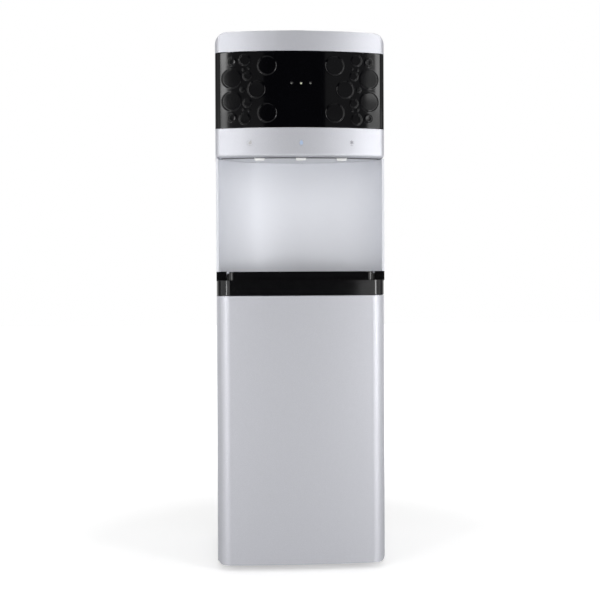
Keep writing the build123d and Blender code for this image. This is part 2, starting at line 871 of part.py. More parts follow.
# Storage liner: one moulding with a raised step over the machine space and ledges for the shelf
with BuildSketch(Plane.YZ) as store_profile:
    with BuildLine():
        Polyline(
            (case_front, store_low),
            (store_step, store_low),
            (store_step, machine_height + 8),
            (store_back, machine_height + 8),
            (store_back, store_high),
            (case_front, store_high),
            close=True,
        )
    make_face()
with BuildPart() as storage_liner:
    with BuildSketch(Plane.YZ):
        add(store_profile.sketch_local)
        offset(amount=liner_skin, kind=Kind.INTERSECTION, mode=Mode.REPLACE)
        with Locations((case_front - 50, 250)):
            Rectangle(100, 600, mode=Mode.SUBTRACT)
    extrude(amount=store_half + liner_skin, both=True)
    add(
        box_between(
            (-inner_half, case_front, base_top + pan_rise + seam),
            (inner_half, case_front + liner_skin, door_top - 3),
        )
    )
    with BuildSketch(Plane.YZ):
        add(store_profile.sketch_local)
    extrude(amount=store_half, both=True, mode=Mode.SUBTRACT)
    for side in (-1, 1):
        outer, inner = side * (store_half + 1), side * (store_half - ledge_depth)
        add(
            box_between(
                (min(outer, inner), case_front + 20, shelf_level - 3),
                (max(outer, inner), store_back - 10, shelf_level),
            )
        )
storage_liner.part.label = "storage_liner"
export_step(storage_liner.part, "parts/storage_liner.step")

# Shelf: a slotted plastic tray that rests on the liner's ledges
with BuildPart() as shelf:
    add(
        box_between(
            (-store_half + seam, case_front + 22, shelf_level),
            (store_half - seam, store_back - 12, shelf_level + 4),
        )
    )
    with BuildSketch(Plane.XY.offset(shelf_level)):
        with Locations((0, -5)):
            with GridLocations(14, 0, 16, 1):
                SlotOverall(150, 7, rotation=90)
    extrude(amount=4, mode=Mode.SUBTRACT)
shelf.part.label = "shelf"
export_step(shelf.part, "parts/shelf.step")

# Door skin: bowed front with rounded edges, open at the back, with hinge bush seats
door_bottom_radius = 11.0
door_top_radius = 2.0
bush_radius = 4.5
bush_height = 9.0
pin_radius = 2.5
door_outline = bowed_outline(body_width, body_front, door_rear, body_bow, body_corner - 0.5)
door_cavity = bowed_outline(
    body_width, body_front, door_rear + 20, body_bow, body_corner - 0.5, inset=shell_wall
)
with BuildPart() as door_skin:
    add(rounded_block(door_outline, case_half, door_base, door_top, door_bottom_radius, door_top_radius))
    rear_edges = door_skin.edges().filter_by(Axis.Z).group_by(Axis.Y)[-1]
    fillet(rear_edges, radius=7.5)
    add(
        rounded_block(
            door_cavity,
            case_half - shell_wall,
            door_base + shell_wall,
            door_top - shell_wall,
            door_bottom_radius - shell_wall,
            0,
        ),
        mode=Mode.SUBTRACT,
    )
    for base, height in ((door_base, bush_height), (door_top - bush_height, bush_height)):
        with BuildSketch(Plane.XY.offset(base)):
            with Locations((hinge_x, hinge_y)):
                Circle(bush_radius + 2)
        extrude(amount=height)
        with BuildSketch(Plane.XY.offset(base)):
            with Locations((hinge_x, hinge_y)):
                Circle(bush_radius)
        extrude(amount=height, mode=Mode.SUBTRACT)
door_skin.part.label = "door_skin"
export_step(door_skin.part, "parts/door_skin.step")

with BuildPart() as door_bushes:
    for base in (door_base, door_top - bush_height):
        with BuildSketch(Plane.XY.offset(base)):
            with Locations((hinge_x, hinge_y)):
                Circle(bush_radius)
                Circle(pin_radius + pin_clearance, mode=Mode.SUBTRACT)
        extrude(amount=bush_height)
door_bushes.part.label = "door_bushes"
export_step(door_bushes.part, "parts/door_bushes.step")

# Hinge brackets: one under the base plate, one inside the band; each carries a pin
lower_bracket_z = foot_height - 2 * sheet
upper_bracket_z = band_base + 2.0
bracket_width = 24.0
pin_engage = bush_height - 1.0
with BuildPart() as hinge_brackets:
    for level in (lower_bracket_z, upper_bracket_z):
        reach = case_front + 24.0
        with BuildSketch(Plane.XY.offset(level)):
            with Locations((hinge_x + 5, (hinge_y + reach) / 2)):
                Rectangle(bracket_width, reach - hinge_y)
            with Locations((hinge_x, hinge_y)):
                Circle(5)
                Circle(pin_radius, mode=Mode.SUBTRACT)
        extrude(amount=2 * sheet)
hinge_brackets.part.label = "hinge_brackets"
export_step(hinge_brackets.part, "parts/hinge_brackets.step")

with BuildPart() as hinge_pins:
    for low, high in (
        (lower_bracket_z, door_base + pin_engage),
        (door_top - pin_engage, upper_bracket_z + 2 * sheet),
    ):
        with BuildSketch(Plane.XY.offset(low)):
            with Locations((hinge_x, hinge_y)):
                Circle(pin_radius)
        extrude(amount=high - low)
hinge_pins.part.label = "hinge_pins"
export_step(hinge_pins.part, "parts/hinge_pins.step")

# Door liner: closes the back of the door, with a shallow recessed panel
liner_edge = case_half - 6.5
recess_depth = 12.0
with BuildPart() as door_liner:
    with BuildSketch(Plane.XZ.offset(-(door_rear - 0.5))):
        with Locations((0, (door_base + door_top) / 2)):
            Rectangle(2 * liner_edge, door_height - 2 * shell_wall - 4)
    extrude(amount=liner_skin)
    with BuildSketch(Plane.XZ.offset(-(door_rear - 0.5))):
        with Locations((0, (door_base + door_top) / 2)):
            Rectangle(230, door_height - 90)
    extrude(amount=recess_depth)
    with BuildSketch(Plane.XZ.offset(-(door_rear - 0.5))):
        with Locations((0, (door_base + door_top) / 2)):
            Rectangle(230 - 2 * liner_skin, door_height - 90 - 2 * liner_skin)
    extrude(amount=recess_depth - liner_skin, mode=Mode.SUBTRACT)
door_liner.part.label = "door_liner"
export_step(door_liner.part, "parts/door_liner.step")

# Door gasket: a closed magnetic strip that meets the liner's front frame
gasket_width = 8.0
gasket_half = 137.0
gasket_low = base_top + pan_rise + 8.0
gasket_high = door_top - 9.0
with BuildPart() as door_gasket:
    with BuildSketch(Plane.XZ.offset(-(case_front - seam))):
        with Locations((0, (gasket_low + gasket_high) / 2)):
            Rectangle(2 * gasket_half, gasket_high - gasket_low)
            Rectangle(
                2 * gasket_half - 2 * gasket_width,
                gasket_high - gasket_low - 2 * gasket_width,
                mode=Mode.SUBTRACT,
            )
    extrude(amount=case_front - seam - (door_rear - 0.5))
door_gasket.part.label = "door_gasket"
export_step(door_gasket.part, "parts/door_gasket.step")

# Bottle collar: white ring on the deck with a funnel and neck bore
funnel_drop = 30.0
neck_low = collar_top - neck_depth
bore_top = collar_top - funnel_drop
skirt_radius = collar_hole - 0.5
with BuildPart() as bottle_collar:
    with BuildSketch(Plane.XZ.offset(-bottle_y)) as ring:
        with BuildLine():
            Polyline(
                (skirt_radius - 3, collar_top),
                (collar_radius, collar_top),
                (collar_radius, case_top),
                (skirt_radius, case_top),
                (skirt_radius, case_top - 7),
                (skirt_radius - shell_wall, case_top - 7),
                (skirt_radius - shell_wall, case_top + 11),
                (neck_radius + shell_wall, bore_top - 1),
                (neck_radius + shell_wall, neck_low),
                (neck_radius, neck_low),
                (neck_radius, bore_top),
                (skirt_radius - 4, collar_top - 5),
                close=True,
            )
        make_face()
        fillet(ring.vertices().group_by(Axis.Y)[-1], radius=1.5)
    revolve(axis=Axis((0, bottle_y, 0), (0, 0, 1)))
bottle_collar.part.label = "bottle_collar"
export_step(bottle_collar.part, "parts/bottle_collar.step")

# Water guard: the hollow spike that opens the bottle's cap, on a disc with drain holes
guard_wall = 2.0
guard_tip = collar_top - 22.0
guard_base = neck_low + 4.0
with BuildPart() as water_guard:
    with BuildSketch(Plane.XY.offset(guard_base)):
        with Locations((0, bottle_y)):
            Circle(neck_radius - slide_gap)
            with PolarLocations(20.5, 8):
                Circle(5, mode=Mode.SUBTRACT)
            Circle(spike_radius - guard_wall, mode=Mode.SUBTRACT)
    extrude(amount=3)
    with BuildSketch(Plane.XZ.offset(-bottle_y)):
        with BuildLine():
            Polyline(
                (0, guard_tip),
                (spike_radius - 4, guard_tip - 6),
                (spike_radius, guard_tip - 14),
                (spike_radius, guard_base),
                (spike_radius - guard_wall, guard_base),
                (spike_radius - guard_wall, guard_tip - 15),
                (0, guard_tip - 15),
                close=True,
            )
        make_face()
    revolve(axis=Axis((0, bottle_y, 0), (0, 0, 1)))
    with BuildSketch(Plane.XZ.offset(-bottle_y)):
        with Locations((0, guard_tip - 19)):
            Circle(3)
    extrude(amount=spike_radius * 2, both=True, mode=Mode.SUBTRACT)
water_guard.part.label = "water_guard"
export_step(water_guard.part, "parts/water_guard.step")

# Cold tank: an open steel drum with a rolled rim and outlet stubs in its floor
stub_low = shelf_z - 6.0
tank_top = tank_z + tank_height
with BuildPart() as cold_tank:
    with BuildSketch(Plane.XZ.offset(-bottle_y)):
        with BuildLine():
            Polyline(
                (0, tank_z),
                (tank_radius, tank_z),
                (tank_radius, tank_top - tank_wall),
                (tank_radius + 6, tank_top - tank_wall),
                (tank_radius + 6, tank_top),
                (tank_radius - tank_wall, tank_top),
                (tank_radius - tank_wall, tank_z + tank_wall),
                (0, tank_z + tank_wall),
                close=True,
            )
        make_face()
    revolve(axis=Axis((0, bottle_y, 0), (0, 0, 1)))
    with BuildSketch(Plane.XY.offset(stub_low)):
        with Locations(*tank_outlets):
            Circle(outlet_radius)
    extrude(amount=tank_z - stub_low + tank_wall / 2)
    with BuildSketch(Plane.XY.offset(stub_low)):
        with Locations(*tank_outlets):
            Circle(outlet_radius - 1)
    extrude(amount=tank_z - stub_low + tank_wall, mode=Mode.SUBTRACT)
cold_tank.part.label = "cold_tank"
export_step(cold_tank.part, "parts/cold_tank.step")

# Cold baffle: a disc on a tube that parts the chilled water from the fresh water
baffle_z = tank_z + 72.0
with BuildPart() as cold_baffle:
    with BuildSketch(Plane.XY.offset(baffle_z)):
        with Locations((0, bottle_y)):
            Circle(tank_radius - tank_wall - 1)
            with PolarLocations(55, 6):
                Circle(4, mode=Mode.SUBTRACT)
        with Locations(tank_outlets[0]):
            Circle(5.2, mode=Mode.SUBTRACT)
    extrude(amount=2)
    with BuildSketch(Plane.XY.offset(tank_z + tank_wall)):
        with Locations(tank_outlets[0]):
            Circle(5.2)
            Circle(3.5, mode=Mode.SUBTRACT)
    extrude(amount=baffle_z - tank_z + 6)
cold_baffle.part.label = "cold_baffle"
export_step(cold_baffle.part, "parts/cold_baffle.step")

# Evaporator coil: one copper tube wound on the tank in tilted half turns
coil_radius = tank_radius + seam + coil_tube
coil_low = tank_z + 12.0


def coil_point(quarter_turns):
    """A point on the coil's centre line after a number of quarter turns."""
    angle = radians(90 * quarter_turns)
    return (
        coil_radius * cos(angle),
        bottle_y + coil_radius * sin(angle),
        coil_low + coil_pitch * quarter_turns / 4,
    )


with BuildPart() as evaporator_coil:
    with BuildLine() as coil_path:
        for quarter in range(0, 4 * coil_turns, 2):
            ThreePointArc(coil_point(quarter), coil_point(quarter + 1), coil_point(quarter + 2))
    coil_wire = coil_path.wires()[0]
    with BuildSketch(Plane(origin=coil_wire @ 0, z_dir=coil_wire % 0)):
        Circle(coil_tube)
    sweep(path=coil_wire)
evaporator_coil.part.label = "evaporator_coil"
export_step(evaporator_coil.part, "parts/evaporator_coil.step")
ideal = coil_turns * hypot(2 * pi * coil_radius, coil_pitch) * pi * coil_tube**2
print("coil gap to itself", round(coil_pitch - 2 * coil_tube, 2))
print("coil volume against section times length", round(evaporator_coil.part.volume / ideal, 4))

# Tank insulation: two foam halves round the tank and its coil
foam_cavity = coil_radius + coil_tube + 1.5
foam_radius = foam_cavity + foam_wall
foam_low = shelf_z + sheet
with BuildPart() as tank_insulation:
    with BuildSketch(Plane.XZ.offset(-bottle_y)):
        with BuildLine():
            Polyline(
                (0, foam_low),
                (foam_radius, foam_low),
                (foam_radius, tank_top - 2),
                (foam_cavity, tank_top - 2),
                (foam_cavity, tank_z - seam),
                (0, tank_z - seam),
                close=True,
            )
        make_face()
    revolve(axis=Axis((0, bottle_y, 0), (0, 0, 1)))
    with BuildSketch(Plane.XY.offset(foam_low)):
        with Locations(*tank_outlets):
            Circle(outlet_radius + 0.5)
        with Locations((0, bottle_y)):
            Rectangle(seam, 3 * foam_radius)
    extrude(amount=tank_height * 2, mode=Mode.SUBTRACT)
tank_insulation.part.label = "tank_insulation"
export_step(tank_insulation.part, "parts/tank_insulation.step")

# Hot tank: a closed steel drum with a top outlet, a side inlet and a drain
hot_z = band_top + jacket_base + seam
hot_top = hot_z + hot_height
hot_outlet_x = -20.0
inlet_z = hot_z + 42.0
drain_z = hot_z + 15.0
drain_stub_y = (store_back + liner_skin + rear - sheet) / 2
stub_radius = 4.0
jacket_top = hot_top + 18.0
with BuildPart() as hot_tank:
    with Locations((0, hot_y, hot_z + hot_height / 2)):
        Cylinder(hot_radius, hot_height)
    fillet(hot_tank.edges().filter_by(GeomType.CIRCLE), radius=6)
    with Locations((0, hot_y, hot_z + hot_height / 2)):
        Cylinder(hot_radius - 4 * sheet, hot_height - 8 * sheet, mode=Mode.SUBTRACT)
    with BuildSketch(Plane.XY.offset(hot_top - 1)):
        with Locations((hot_outlet_x, hot_y)):
            Circle(stub_radius)
    extrude(amount=jacket_top + 3 - hot_top + 1)
    with BuildSketch(Plane.YZ.offset(hot_radius - 2)):
        with Locations((hot_y, inlet_z), (hot_y, drain_z)):
            Circle(stub_radius)
    extrude(amount=jacket_radius + 3 - hot_radius + 2)
hot_tank.part.label = "hot_tank"
export_step(hot_tank.part, "parts/hot_tank.step")

band_low = hot_z + 60.0
with BuildPart() as heater_band:
    with BuildSketch(Plane.XY.offset(band_low)):
        with Locations((0, hot_y)):
            Circle(hot_radius + seam + 3)
            Circle(hot_radius + seam, mode=Mode.SUBTRACT)
    extrude(amount=36)
heater_band.part.label = "heater_band"
export_step(heater_band.part, "parts/heater_band.step")

with BuildPart() as hot_thermostats:
    for z in (hot_z + 115, hot_z + 135):
        with BuildSketch(Plane.XZ.offset(-(hot_y - hot_radius - seam))):
            with Locations((0, z)):
                Circle(7)
        extrude(amount=5)
hot_thermostats.part.label = "hot_thermostats"
export_step(hot_thermostats.part, "parts/hot_thermostats.step")

with BuildPart() as hot_jacket:
    with BuildSketch(Plane.XZ.offset(-hot_y)):
        with BuildLine():
            Polyline(
                (0, band_top),
                (jacket_radius, band_top),
                (jacket_radius, jacket_top),
                (0, jacket_top),
                (0, hot_top + seam),
                (jacket_cavity, hot_top + seam),
                (jacket_cavity, hot_z - seam),
                (0, hot_z - seam),
                close=True,
            )
        make_face()
    revolve(axis=Axis((0, hot_y, 0), (0, 0, 1)))
    with BuildSketch(Plane.XY.offset(hot_top)):
        with Locations((hot_outlet_x, hot_y)):
            Circle(stub_radius + 0.5)
    extrude(amount=40, mode=Mode.SUBTRACT)
    with BuildSketch(Plane.YZ.offset(hot_radius)):
        with Locations((hot_y, inlet_z), (hot_y, drain_z)):
            Circle(stub_radius + 0.5)
    extrude(amount=30, mode=Mode.SUBTRACT)
hot_jacket.part.label = "hot_jacket"
export_step(hot_jacket.part, "parts/hot_jacket.step")

# Water hoses: silicone tubes between the tank outlets, the hot tank and the taps
hose_radius = 4.0
hose_gap = 0.2
tap_end_y = {name: lever_face(x) + tap_gap + tap_length + 6 + hose_gap for name, x in stations.items()}
outlet_end = stub_low - hose_gap
normal_x, normal_y = tank_outlets[0]
cold_x, cold_y = tank_outlets[1]
feed_x, feed_y = tank_outlets[2]
hot_end = jacket_top + 3 + hose_gap
inlet_end = jacket_radius + 3 + hose_gap
hose_routes = [
    [
        (stations["normal"], tap_end_y["normal"], plunger_z),
        (normal_x, normal_y, plunger_z),
        (normal_x, normal_y, outlet_end),
    ],
    [
        (stations["cold"], tap_end_y["cold"], plunger_z),
        (stations["cold"], tap_end_y["cold"] + 22, plunger_z),
        (cold_x, cold_y, plunger_z),
        (cold_x, cold_y, outlet_end),
    ],
    [
        (stations["hot"], tap_end_y["hot"], plunger_z),
        (stations["hot"], hot_y, plunger_z),
        (hot_outlet_x, hot_y, plunger_z),
        (hot_outlet_x, hot_y, hot_end),
    ],
    [
        (inlet_end, hot_y, drain_z),
        (drain_x, hot_y, drain_z),
        (drain_x, drain_stub_y, drain_z),
        (drain_x, drain_stub_y, port_z + 13 + hose_gap),
    ],
    [
        (feed_x, feed_y, outlet_end),
        (feed_x, feed_y, ceiling + 20),
        (inlet_end + 20, hot_y, ceiling - 10),
        (inlet_end + 20, hot_y, inlet_z),
        (inlet_end, hot_y, inlet_z),
    ],
]
hose_bends = [9.0, 9.0, 18.0, 12.0, 9.0]
with BuildPart() as water_hoses:
    for route, bend in zip(hose_routes, hose_bends):
        add(tube_along(route, [bend] * (len(route) - 2), hose_radius))
water_hoses.part.label = "water_hoses"
export_step(water_hoses.part, "parts/water_hoses.step")

# Compressor: a welded two-part shell with a seam flange, on a plate with four lugs
mount_radius = 10.0
lug_spots = [(compressor_x + sx * 74, compressor_y + sy * 44) for sx in (-1, 1) for sy in (-1, 1)]
plate_z = base_top + mount_height
shell_z = plate_z + 3.0
seam_z = shell_z + compressor_height * 0.45
with BuildPart() as compressor:
    with BuildSketch(Plane.XY.offset(shell_z - 1)):
        with Locations((compressor_x, compressor_y)):
            Ellipse(compressor_half_x, compressor_half_y)
    extrude(amount=compressor_height)
    fillet(compressor.edges().group_by(Axis.Z)[-1], radius=26)
    fillet(compressor.edges().group_by(Axis.Z)[0], radius=14)
    with BuildSketch(Plane.XY.offset(seam_z)):
        with Locations((compressor_x, compressor_y)):
            Ellipse(compressor_half_x + 3, compressor_half_y + 3)
    extrude(amount=4)
    with BuildSketch(Plane.XY.offset(plate_z)):
        with Locations((compressor_x, compressor_y)):
            Rectangle(100, 70)
        for x, y in lug_spots:
            with BuildLine():
                Polyline(
                    (compressor_x, compressor_y - 20),
                    (compressor_x, compressor_y + 20),
                    (x, y + 9),
                    (x, y - 9),
                    close=True,
                )
            make_face()
            with Locations((x, y)):
                Circle(12)
    extrude(amount=3)
    with BuildSketch(Plane.XY.offset(plate_z)):
        with Locations(*lug_spots):
            Circle(6)
    extrude(amount=3, mode=Mode.SUBTRACT)
    stub_y = compressor_y + 20
    stub_z = shell_z + 75.0
    for side in (-1, 1):
        with BuildSketch(Plane.YZ.offset(compressor_x + side * (compressor_half_x - 12))):
            with Locations((stub_y, stub_z)):
                Circle(4)
        extrude(amount=side * 18)
compressor.part.label = "compressor"
export_step(compressor.part, "parts/compressor.step")

with BuildPart() as compressor_mounts:
    with BuildSketch(Plane.XY.offset(base_top)):
        with Locations(*lug_spots):
            Circle(mount_radius)
    extrude(amount=mount_height)
    with BuildSketch(Plane.XY.offset(base_top + mount_height)):
        with Locations(*lug_spots):
            Circle(5.8)
    extrude(amount=7)
compressor_mounts.part.label = "compressor_mounts"
export_step(compressor_mounts.part, "parts/compressor_mounts.step")

# Relay cover: a moulded box on the compressor's flank
relay_half = compressor_half_x + 3 + seam
with BuildPart() as relay_cover:
    add(
        box_between(
            (compressor_x + 40, compressor_y - 34, seam_z + 8),
            (compressor_x + relay_half + 22, compressor_y + 8, seam_z + 48),
        )
    )
    with BuildSketch(Plane.XY.offset(seam_z)):
        with Locations((compressor_x, compressor_y)):
            Ellipse(compressor_half_x + seam, compressor_half_y + seam)
    extrude(amount=60, mode=Mode.SUBTRACT)
    fillet(relay_cover.edges().filter_by(Axis.Z).group_by(Axis.X)[-1], radius=3)
relay_cover.part.label = "relay_cover"
export_step(relay_cover.part, "parts/relay_cover.step")

# Condenser: one serpentine tube with vertical wires on both sides
condenser_y = back - condenser_tube_radius - 2 * wire_radius - slide_gap
condenser_low = machine_height + 44.0
condenser_high = condenser_low + (condenser_passes - 1) * condenser_pitch
riser_x = condenser_half + 11.0
tail_z = condenser_low - 24.0
tail_bend = 9.0
turn_radius = condenser_pitch / 2 - 0.05
condenser_points = [(riser_x, condenser_y, tail_z), (riser_x, condenser_y, condenser_high)]
condenser_radii = [tail_bend]
left_turn_x = -condenser_half
right_turn_x = condenser_half - 14.0
for step in range(condenser_passes):
    z = condenser_high - step * condenser_pitch
    end = left_turn_x if step % 2 == 0 else right_turn_x
    last = step == condenser_passes - 1
    condenser_points.append((end, condenser_y, z))
    condenser_radii.append(tail_bend if last else turn_radius)
    condenser_points.append((end, condenser_y, tail_z if last else z - condenser_pitch))
    if not last:
        condenser_radii.append(turn_radius)
liquid_x = right_turn_x if condenser_passes % 2 == 0 else left_turn_x
with BuildPart() as condenser_tube:
    add(tube_along(condenser_points, condenser_radii, condenser_tube_radius))
condenser_tube.part.label = "condenser_tube"
export_step(condenser_tube.part, "parts/condenser_tube.step")

wire_low = condenser_low - 10.0
wire_high = condenser_high + 10.0
wire_span = 2 * condenser_half - 72.0
wire_offset = condenser_tube_radius + wire_radius + slide_gap / 2
with BuildPart() as condenser_wires:
    with BuildSketch(Plane.XY.offset(wire_low)):
        for side in (-1, 1):
            with Locations((-7, condenser_y + side * wire_offset)):
                with GridLocations(wire_span / (wire_count - 1), 0, wire_count, 1):
                    Circle(wire_radius)
    extrude(amount=wire_high - wire_low)
condenser_wires.part.label = "condenser_wires"
export_step(condenser_wires.part, "parts/condenser_wires.step")

# Condenser brackets: four plastic stand-offs that clip the tube's passes to the rear panel
clip_passes = [1, condenser_passes - 2]
with BuildPart() as condenser_brackets:
    for x in (-condenser_half + 21, condenser_half - 35):
        for step in clip_passes:
            z = condenser_high - step * condenser_pitch
            low = (x - 5, rear, z - 8)
            high = (x + 5, condenser_y + condenser_tube_radius + 1.5, z + 8)
            add(box_between(low, high))
    with BuildSketch(Plane.YZ):
        for step in clip_passes:
            with Locations((condenser_y, condenser_high - step * condenser_pitch)):
                Circle(condenser_tube_radius + slide_gap)
    extrude(amount=head_width, both=True, mode=Mode.SUBTRACT)
condenser_brackets.part.label = "condenser_brackets"
export_step(condenser_brackets.part, "parts/condenser_brackets.step")

# Filter drier: a copper capsule under the condenser's outlet
drier_y = condenser_y - 8.0
drier_top = tail_z - 30.0
drier_length = 80.0
with BuildPart() as filter_drier:
    with BuildSketch(Plane.XZ.offset(-drier_y)):
        with BuildLine():
            Polyline(
                (liquid_x, drier_top),
                (liquid_x + 2.5, drier_top),
                (liquid_x + 7, drier_top - 10),
                (liquid_x + 7, drier_top - drier_length + 10),
                (liquid_x + 2, drier_top - drier_length),
                (liquid_x, drier_top - drier_length),
                close=True,
            )
        make_face()
    revolve(axis=Axis((liquid_x, drier_y, 0), (0, 0, 1)))
filter_drier.part.label = "filter_drier"
export_step(filter_drier.part, "parts/filter_drier.step")

# Refrigerant tubes: discharge, liquid, capillary and suction lines
joint_gap = 0.2
capillary_radius = 1.5
capillary_x = line_x - 6.8
right_stub = compressor_x + compressor_half_x + 6 + joint_gap
left_stub = compressor_x - compressor_half_x - 6 - joint_gap


def foam_contact(x, z):
    """The point where a line from a riser towards the tank's axis meets the foam."""
    away = hypot(x, line_y - bottle_y)
    share = (foam_radius + 1.5) / away
    return (x * share, bottle_y + (line_y - bottle_y) * share, z)


discharge = [
    (right_stub, stub_y, stub_z),
    (liquid_x - 6, stub_y, stub_z),
    (liquid_x - 6, rear + 14, stub_z),
    (riser_x, condenser_y, stub_z + 24),
    (riser_x, condenser_y, tail_z - joint_gap),
]
liquid = [
    (liquid_x, condenser_y, tail_z - joint_gap),
    (liquid_x, condenser_y, tail_z - 10),
    (liquid_x, drier_y, tail_z - 20),
    (liquid_x, drier_y, drier_top + joint_gap),
]
capillary_low = base_top + pan_rise + 50.0
capillary = [
    (liquid_x, drier_y, drier_top - drier_length - joint_gap),
    (liquid_x, drier_y, capillary_low),
    (liquid_x, rear - 6, capillary_low),
    (capillary_x, line_y, capillary_low),
    (capillary_x, line_y, tank_z + 60),
    foam_contact(capillary_x, tank_z + 60),
]
suction = [
    (left_stub, stub_y, stub_z),
    (line_x, stub_y, stub_z),
    (line_x, line_y, stub_z),
    (line_x, line_y, tank_z + 45),
    foam_contact(line_x, tank_z + 45),
]
with BuildPart() as refrigerant_tubes:
    add(tube_along(discharge, [12.0] * 3, condenser_tube_radius))
    add(tube_along(liquid, [4.0] * 2, condenser_tube_radius))
    add(tube_along(capillary, [8.0] * 4, capillary_radius))
    add(tube_along(suction, [14.0] * 3, outlet_radius))
refrigerant_tubes.part.label = "refrigerant_tubes"
export_step(refrigerant_tubes.part, "parts/refrigerant_tubes.step")

# Drain spigot and its push-on cap, on the rear panel
spigot_radius = 6.5
spigot_length = 17.0
cap_wall = 2.2
cap_length = 13.0
with BuildPart() as drain_spigot:
    with BuildSketch(Plane.XZ.offset(-rear)):
        with Locations((drain_x, port_z)):
            Circle(13)
    extrude(amount=-2.5)
    with BuildSketch(Plane.XZ.offset(-(drain_stub_y - 3))):
        with Locations((drain_x, port_z)):
            Circle(spigot_radius)
    extrude(amount=-(rear + spigot_length - drain_stub_y + 3))
    with BuildSketch(Plane.XY.offset(port_z)):
        with Locations((drain_x, drain_stub_y)):
            Circle(4.4)
    extrude(amount=13)
    with BuildSketch(Plane.XZ.offset(-drain_stub_y)):
        with Locations((drain_x, port_z)):
            Circle(4)
    extrude(amount=-(rear + spigot_length - drain_stub_y), mode=Mode.SUBTRACT)
    with BuildSketch(Plane.XY.offset(port_z)):
        with Locations((drain_x, drain_stub_y)):
            Circle(2.9)
    extrude(amount=13, mode=Mode.SUBTRACT)
drain_spigot.part.label = "drain_spigot"
export_step(drain_spigot.part, "parts/drain_spigot.step")

cap_inner = spigot_radius + slide_gap / 2
cap_face = rear + spigot_length + slide_gap + cap_wall
with BuildPart() as drain_cap:
    with BuildSketch(Plane.XZ.offset(-cap_face)):
        with Locations((drain_x, port_z)):
            Circle(cap_inner + cap_wall)
    extrude(amount=cap_length)
    with BuildSketch(Plane.XZ.offset(-(cap_face - cap_wall))):
        with Locations((drain_x, port_z)):
            Circle(cap_inner)
    extrude(amount=cap_length, mode=Mode.SUBTRACT)
    with BuildSketch(Plane.XZ.offset(-cap_face)):
        with Locations((drain_x, port_z)):
            with PolarLocations(cap_inner + cap_wall, 12):
                Circle(0.8)
    extrude(amount=cap_length, mode=Mode.SUBTRACT)
drain_cap.part.label = "drain_cap"
export_step(drain_cap.part, "parts/drain_cap.step")

# Cord gland: the ribbed grommet where a supply cord would enter
with BuildPart() as cord_gland:
    with BuildSketch(Plane.XZ.offset(-rear)):
        with Locations((gland_x, port_z)):
            Circle(11)
    extrude(amount=-2.5)
    with BuildSketch(Plane.XZ.offset(-(rear - sheet - 2))):
        with Locations((gland_x, port_z)):
            Circle(gland_hole)
    extrude(amount=-(sheet + 4))
    with BuildSketch(Plane.XZ.offset(-(rear + 2.5))):
        with Locations((gland_x, port_z)):
            Circle(6.5)
    extrude(amount=-7, taper=12)
    with BuildSketch(Plane.XZ.offset(-(rear - sheet - 3))):
        with Locations((gland_x, port_z)):
            Circle(3.6)
    extrude(amount=-20, mode=Mode.SUBTRACT)
cord_gland.part.label = "cord_gland"
export_step(cord_gland.part, "parts/cord_gland.step")

# Switch plate in the rear cover, with two rockers
rocker_radius = 10.0
rocker_width = 13.0
rocker_pitch = 22.0
rocker_angle = 14.0
rocker_y = cover_face + 1.0
plate_rise = 2.0
window_half_x = switch_plate_width / 2 - 4 - seam
window_half_z = switch_plate_height / 2 - 4 - seam
with BuildPart() as switch_plate:
    add(
        box_between(
            (switch_x - switch_plate_width / 2, cover_face, switch_z - switch_plate_height / 2),
            (
                switch_x + switch_plate_width / 2,
                cover_face + plate_rise,
                switch_z + switch_plate_height / 2,
            ),
        )
    )
    add(
        box_between(
            (switch_x - window_half_x, cover_face - 16, switch_z - window_half_z),
            (switch_x + window_half_x, cover_face + 0.5, switch_z + window_half_z),
        )
    )
    for side in (-1, 1):
        middle = switch_x + side * rocker_pitch / 2
        half_gap = rocker_width / 2 + slide_gap
        with BuildSketch(Plane.YZ.offset(middle)):
            with Locations((rocker_y, switch_z)):
                Circle(rocker_radius + slide_gap)
        extrude(amount=half_gap, both=True, mode=Mode.SUBTRACT)
        with BuildSketch(Plane.YZ.offset(middle)):
            with Locations((rocker_y, switch_z)):
                Circle(1.5 + pin_clearance)
        extrude(amount=half_gap + 2, both=True, mode=Mode.SUBTRACT)
switch_plate.part.label = "switch_plate"
export_step(switch_plate.part, "parts/switch_plate.step")

for name, side in (("hot", -1), ("cold", 1)):
    middle = switch_x + side * rocker_pitch / 2
    with BuildPart() as rocker:
        with BuildSketch(Plane.YZ.offset(middle)):
            with Locations((rocker_y, switch_z)):
                Circle(rocker_radius)
            lean = 12 * sin(radians(rocker_angle))
            with BuildLine():
                Polyline(
                    (rocker_y + 1.5, switch_z + 12),
                    (rocker_y + 1.5, switch_z),
                    (rocker_y + 1.5 + lean, switch_z - 12),
                    (rocker_y + 30, switch_z - 12),
                    (rocker_y + 30, switch_z + 12),
                    close=True,
                )
            make_face(mode=Mode.SUBTRACT)
        extrude(amount=rocker_width / 2, both=True)
        with BuildSketch(Plane.YZ.offset(middle)):
            with Locations((rocker_y, switch_z)):
                Circle(1.5)
        extrude(amount=rocker_width / 2 + 1.8, both=True)
    rocker.part.label = f"switch_{name}"
    export_step(rocker.part, f"parts/switch_{name}.step")
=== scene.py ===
import bpy
import math
from mathutils import Matrix, Vector


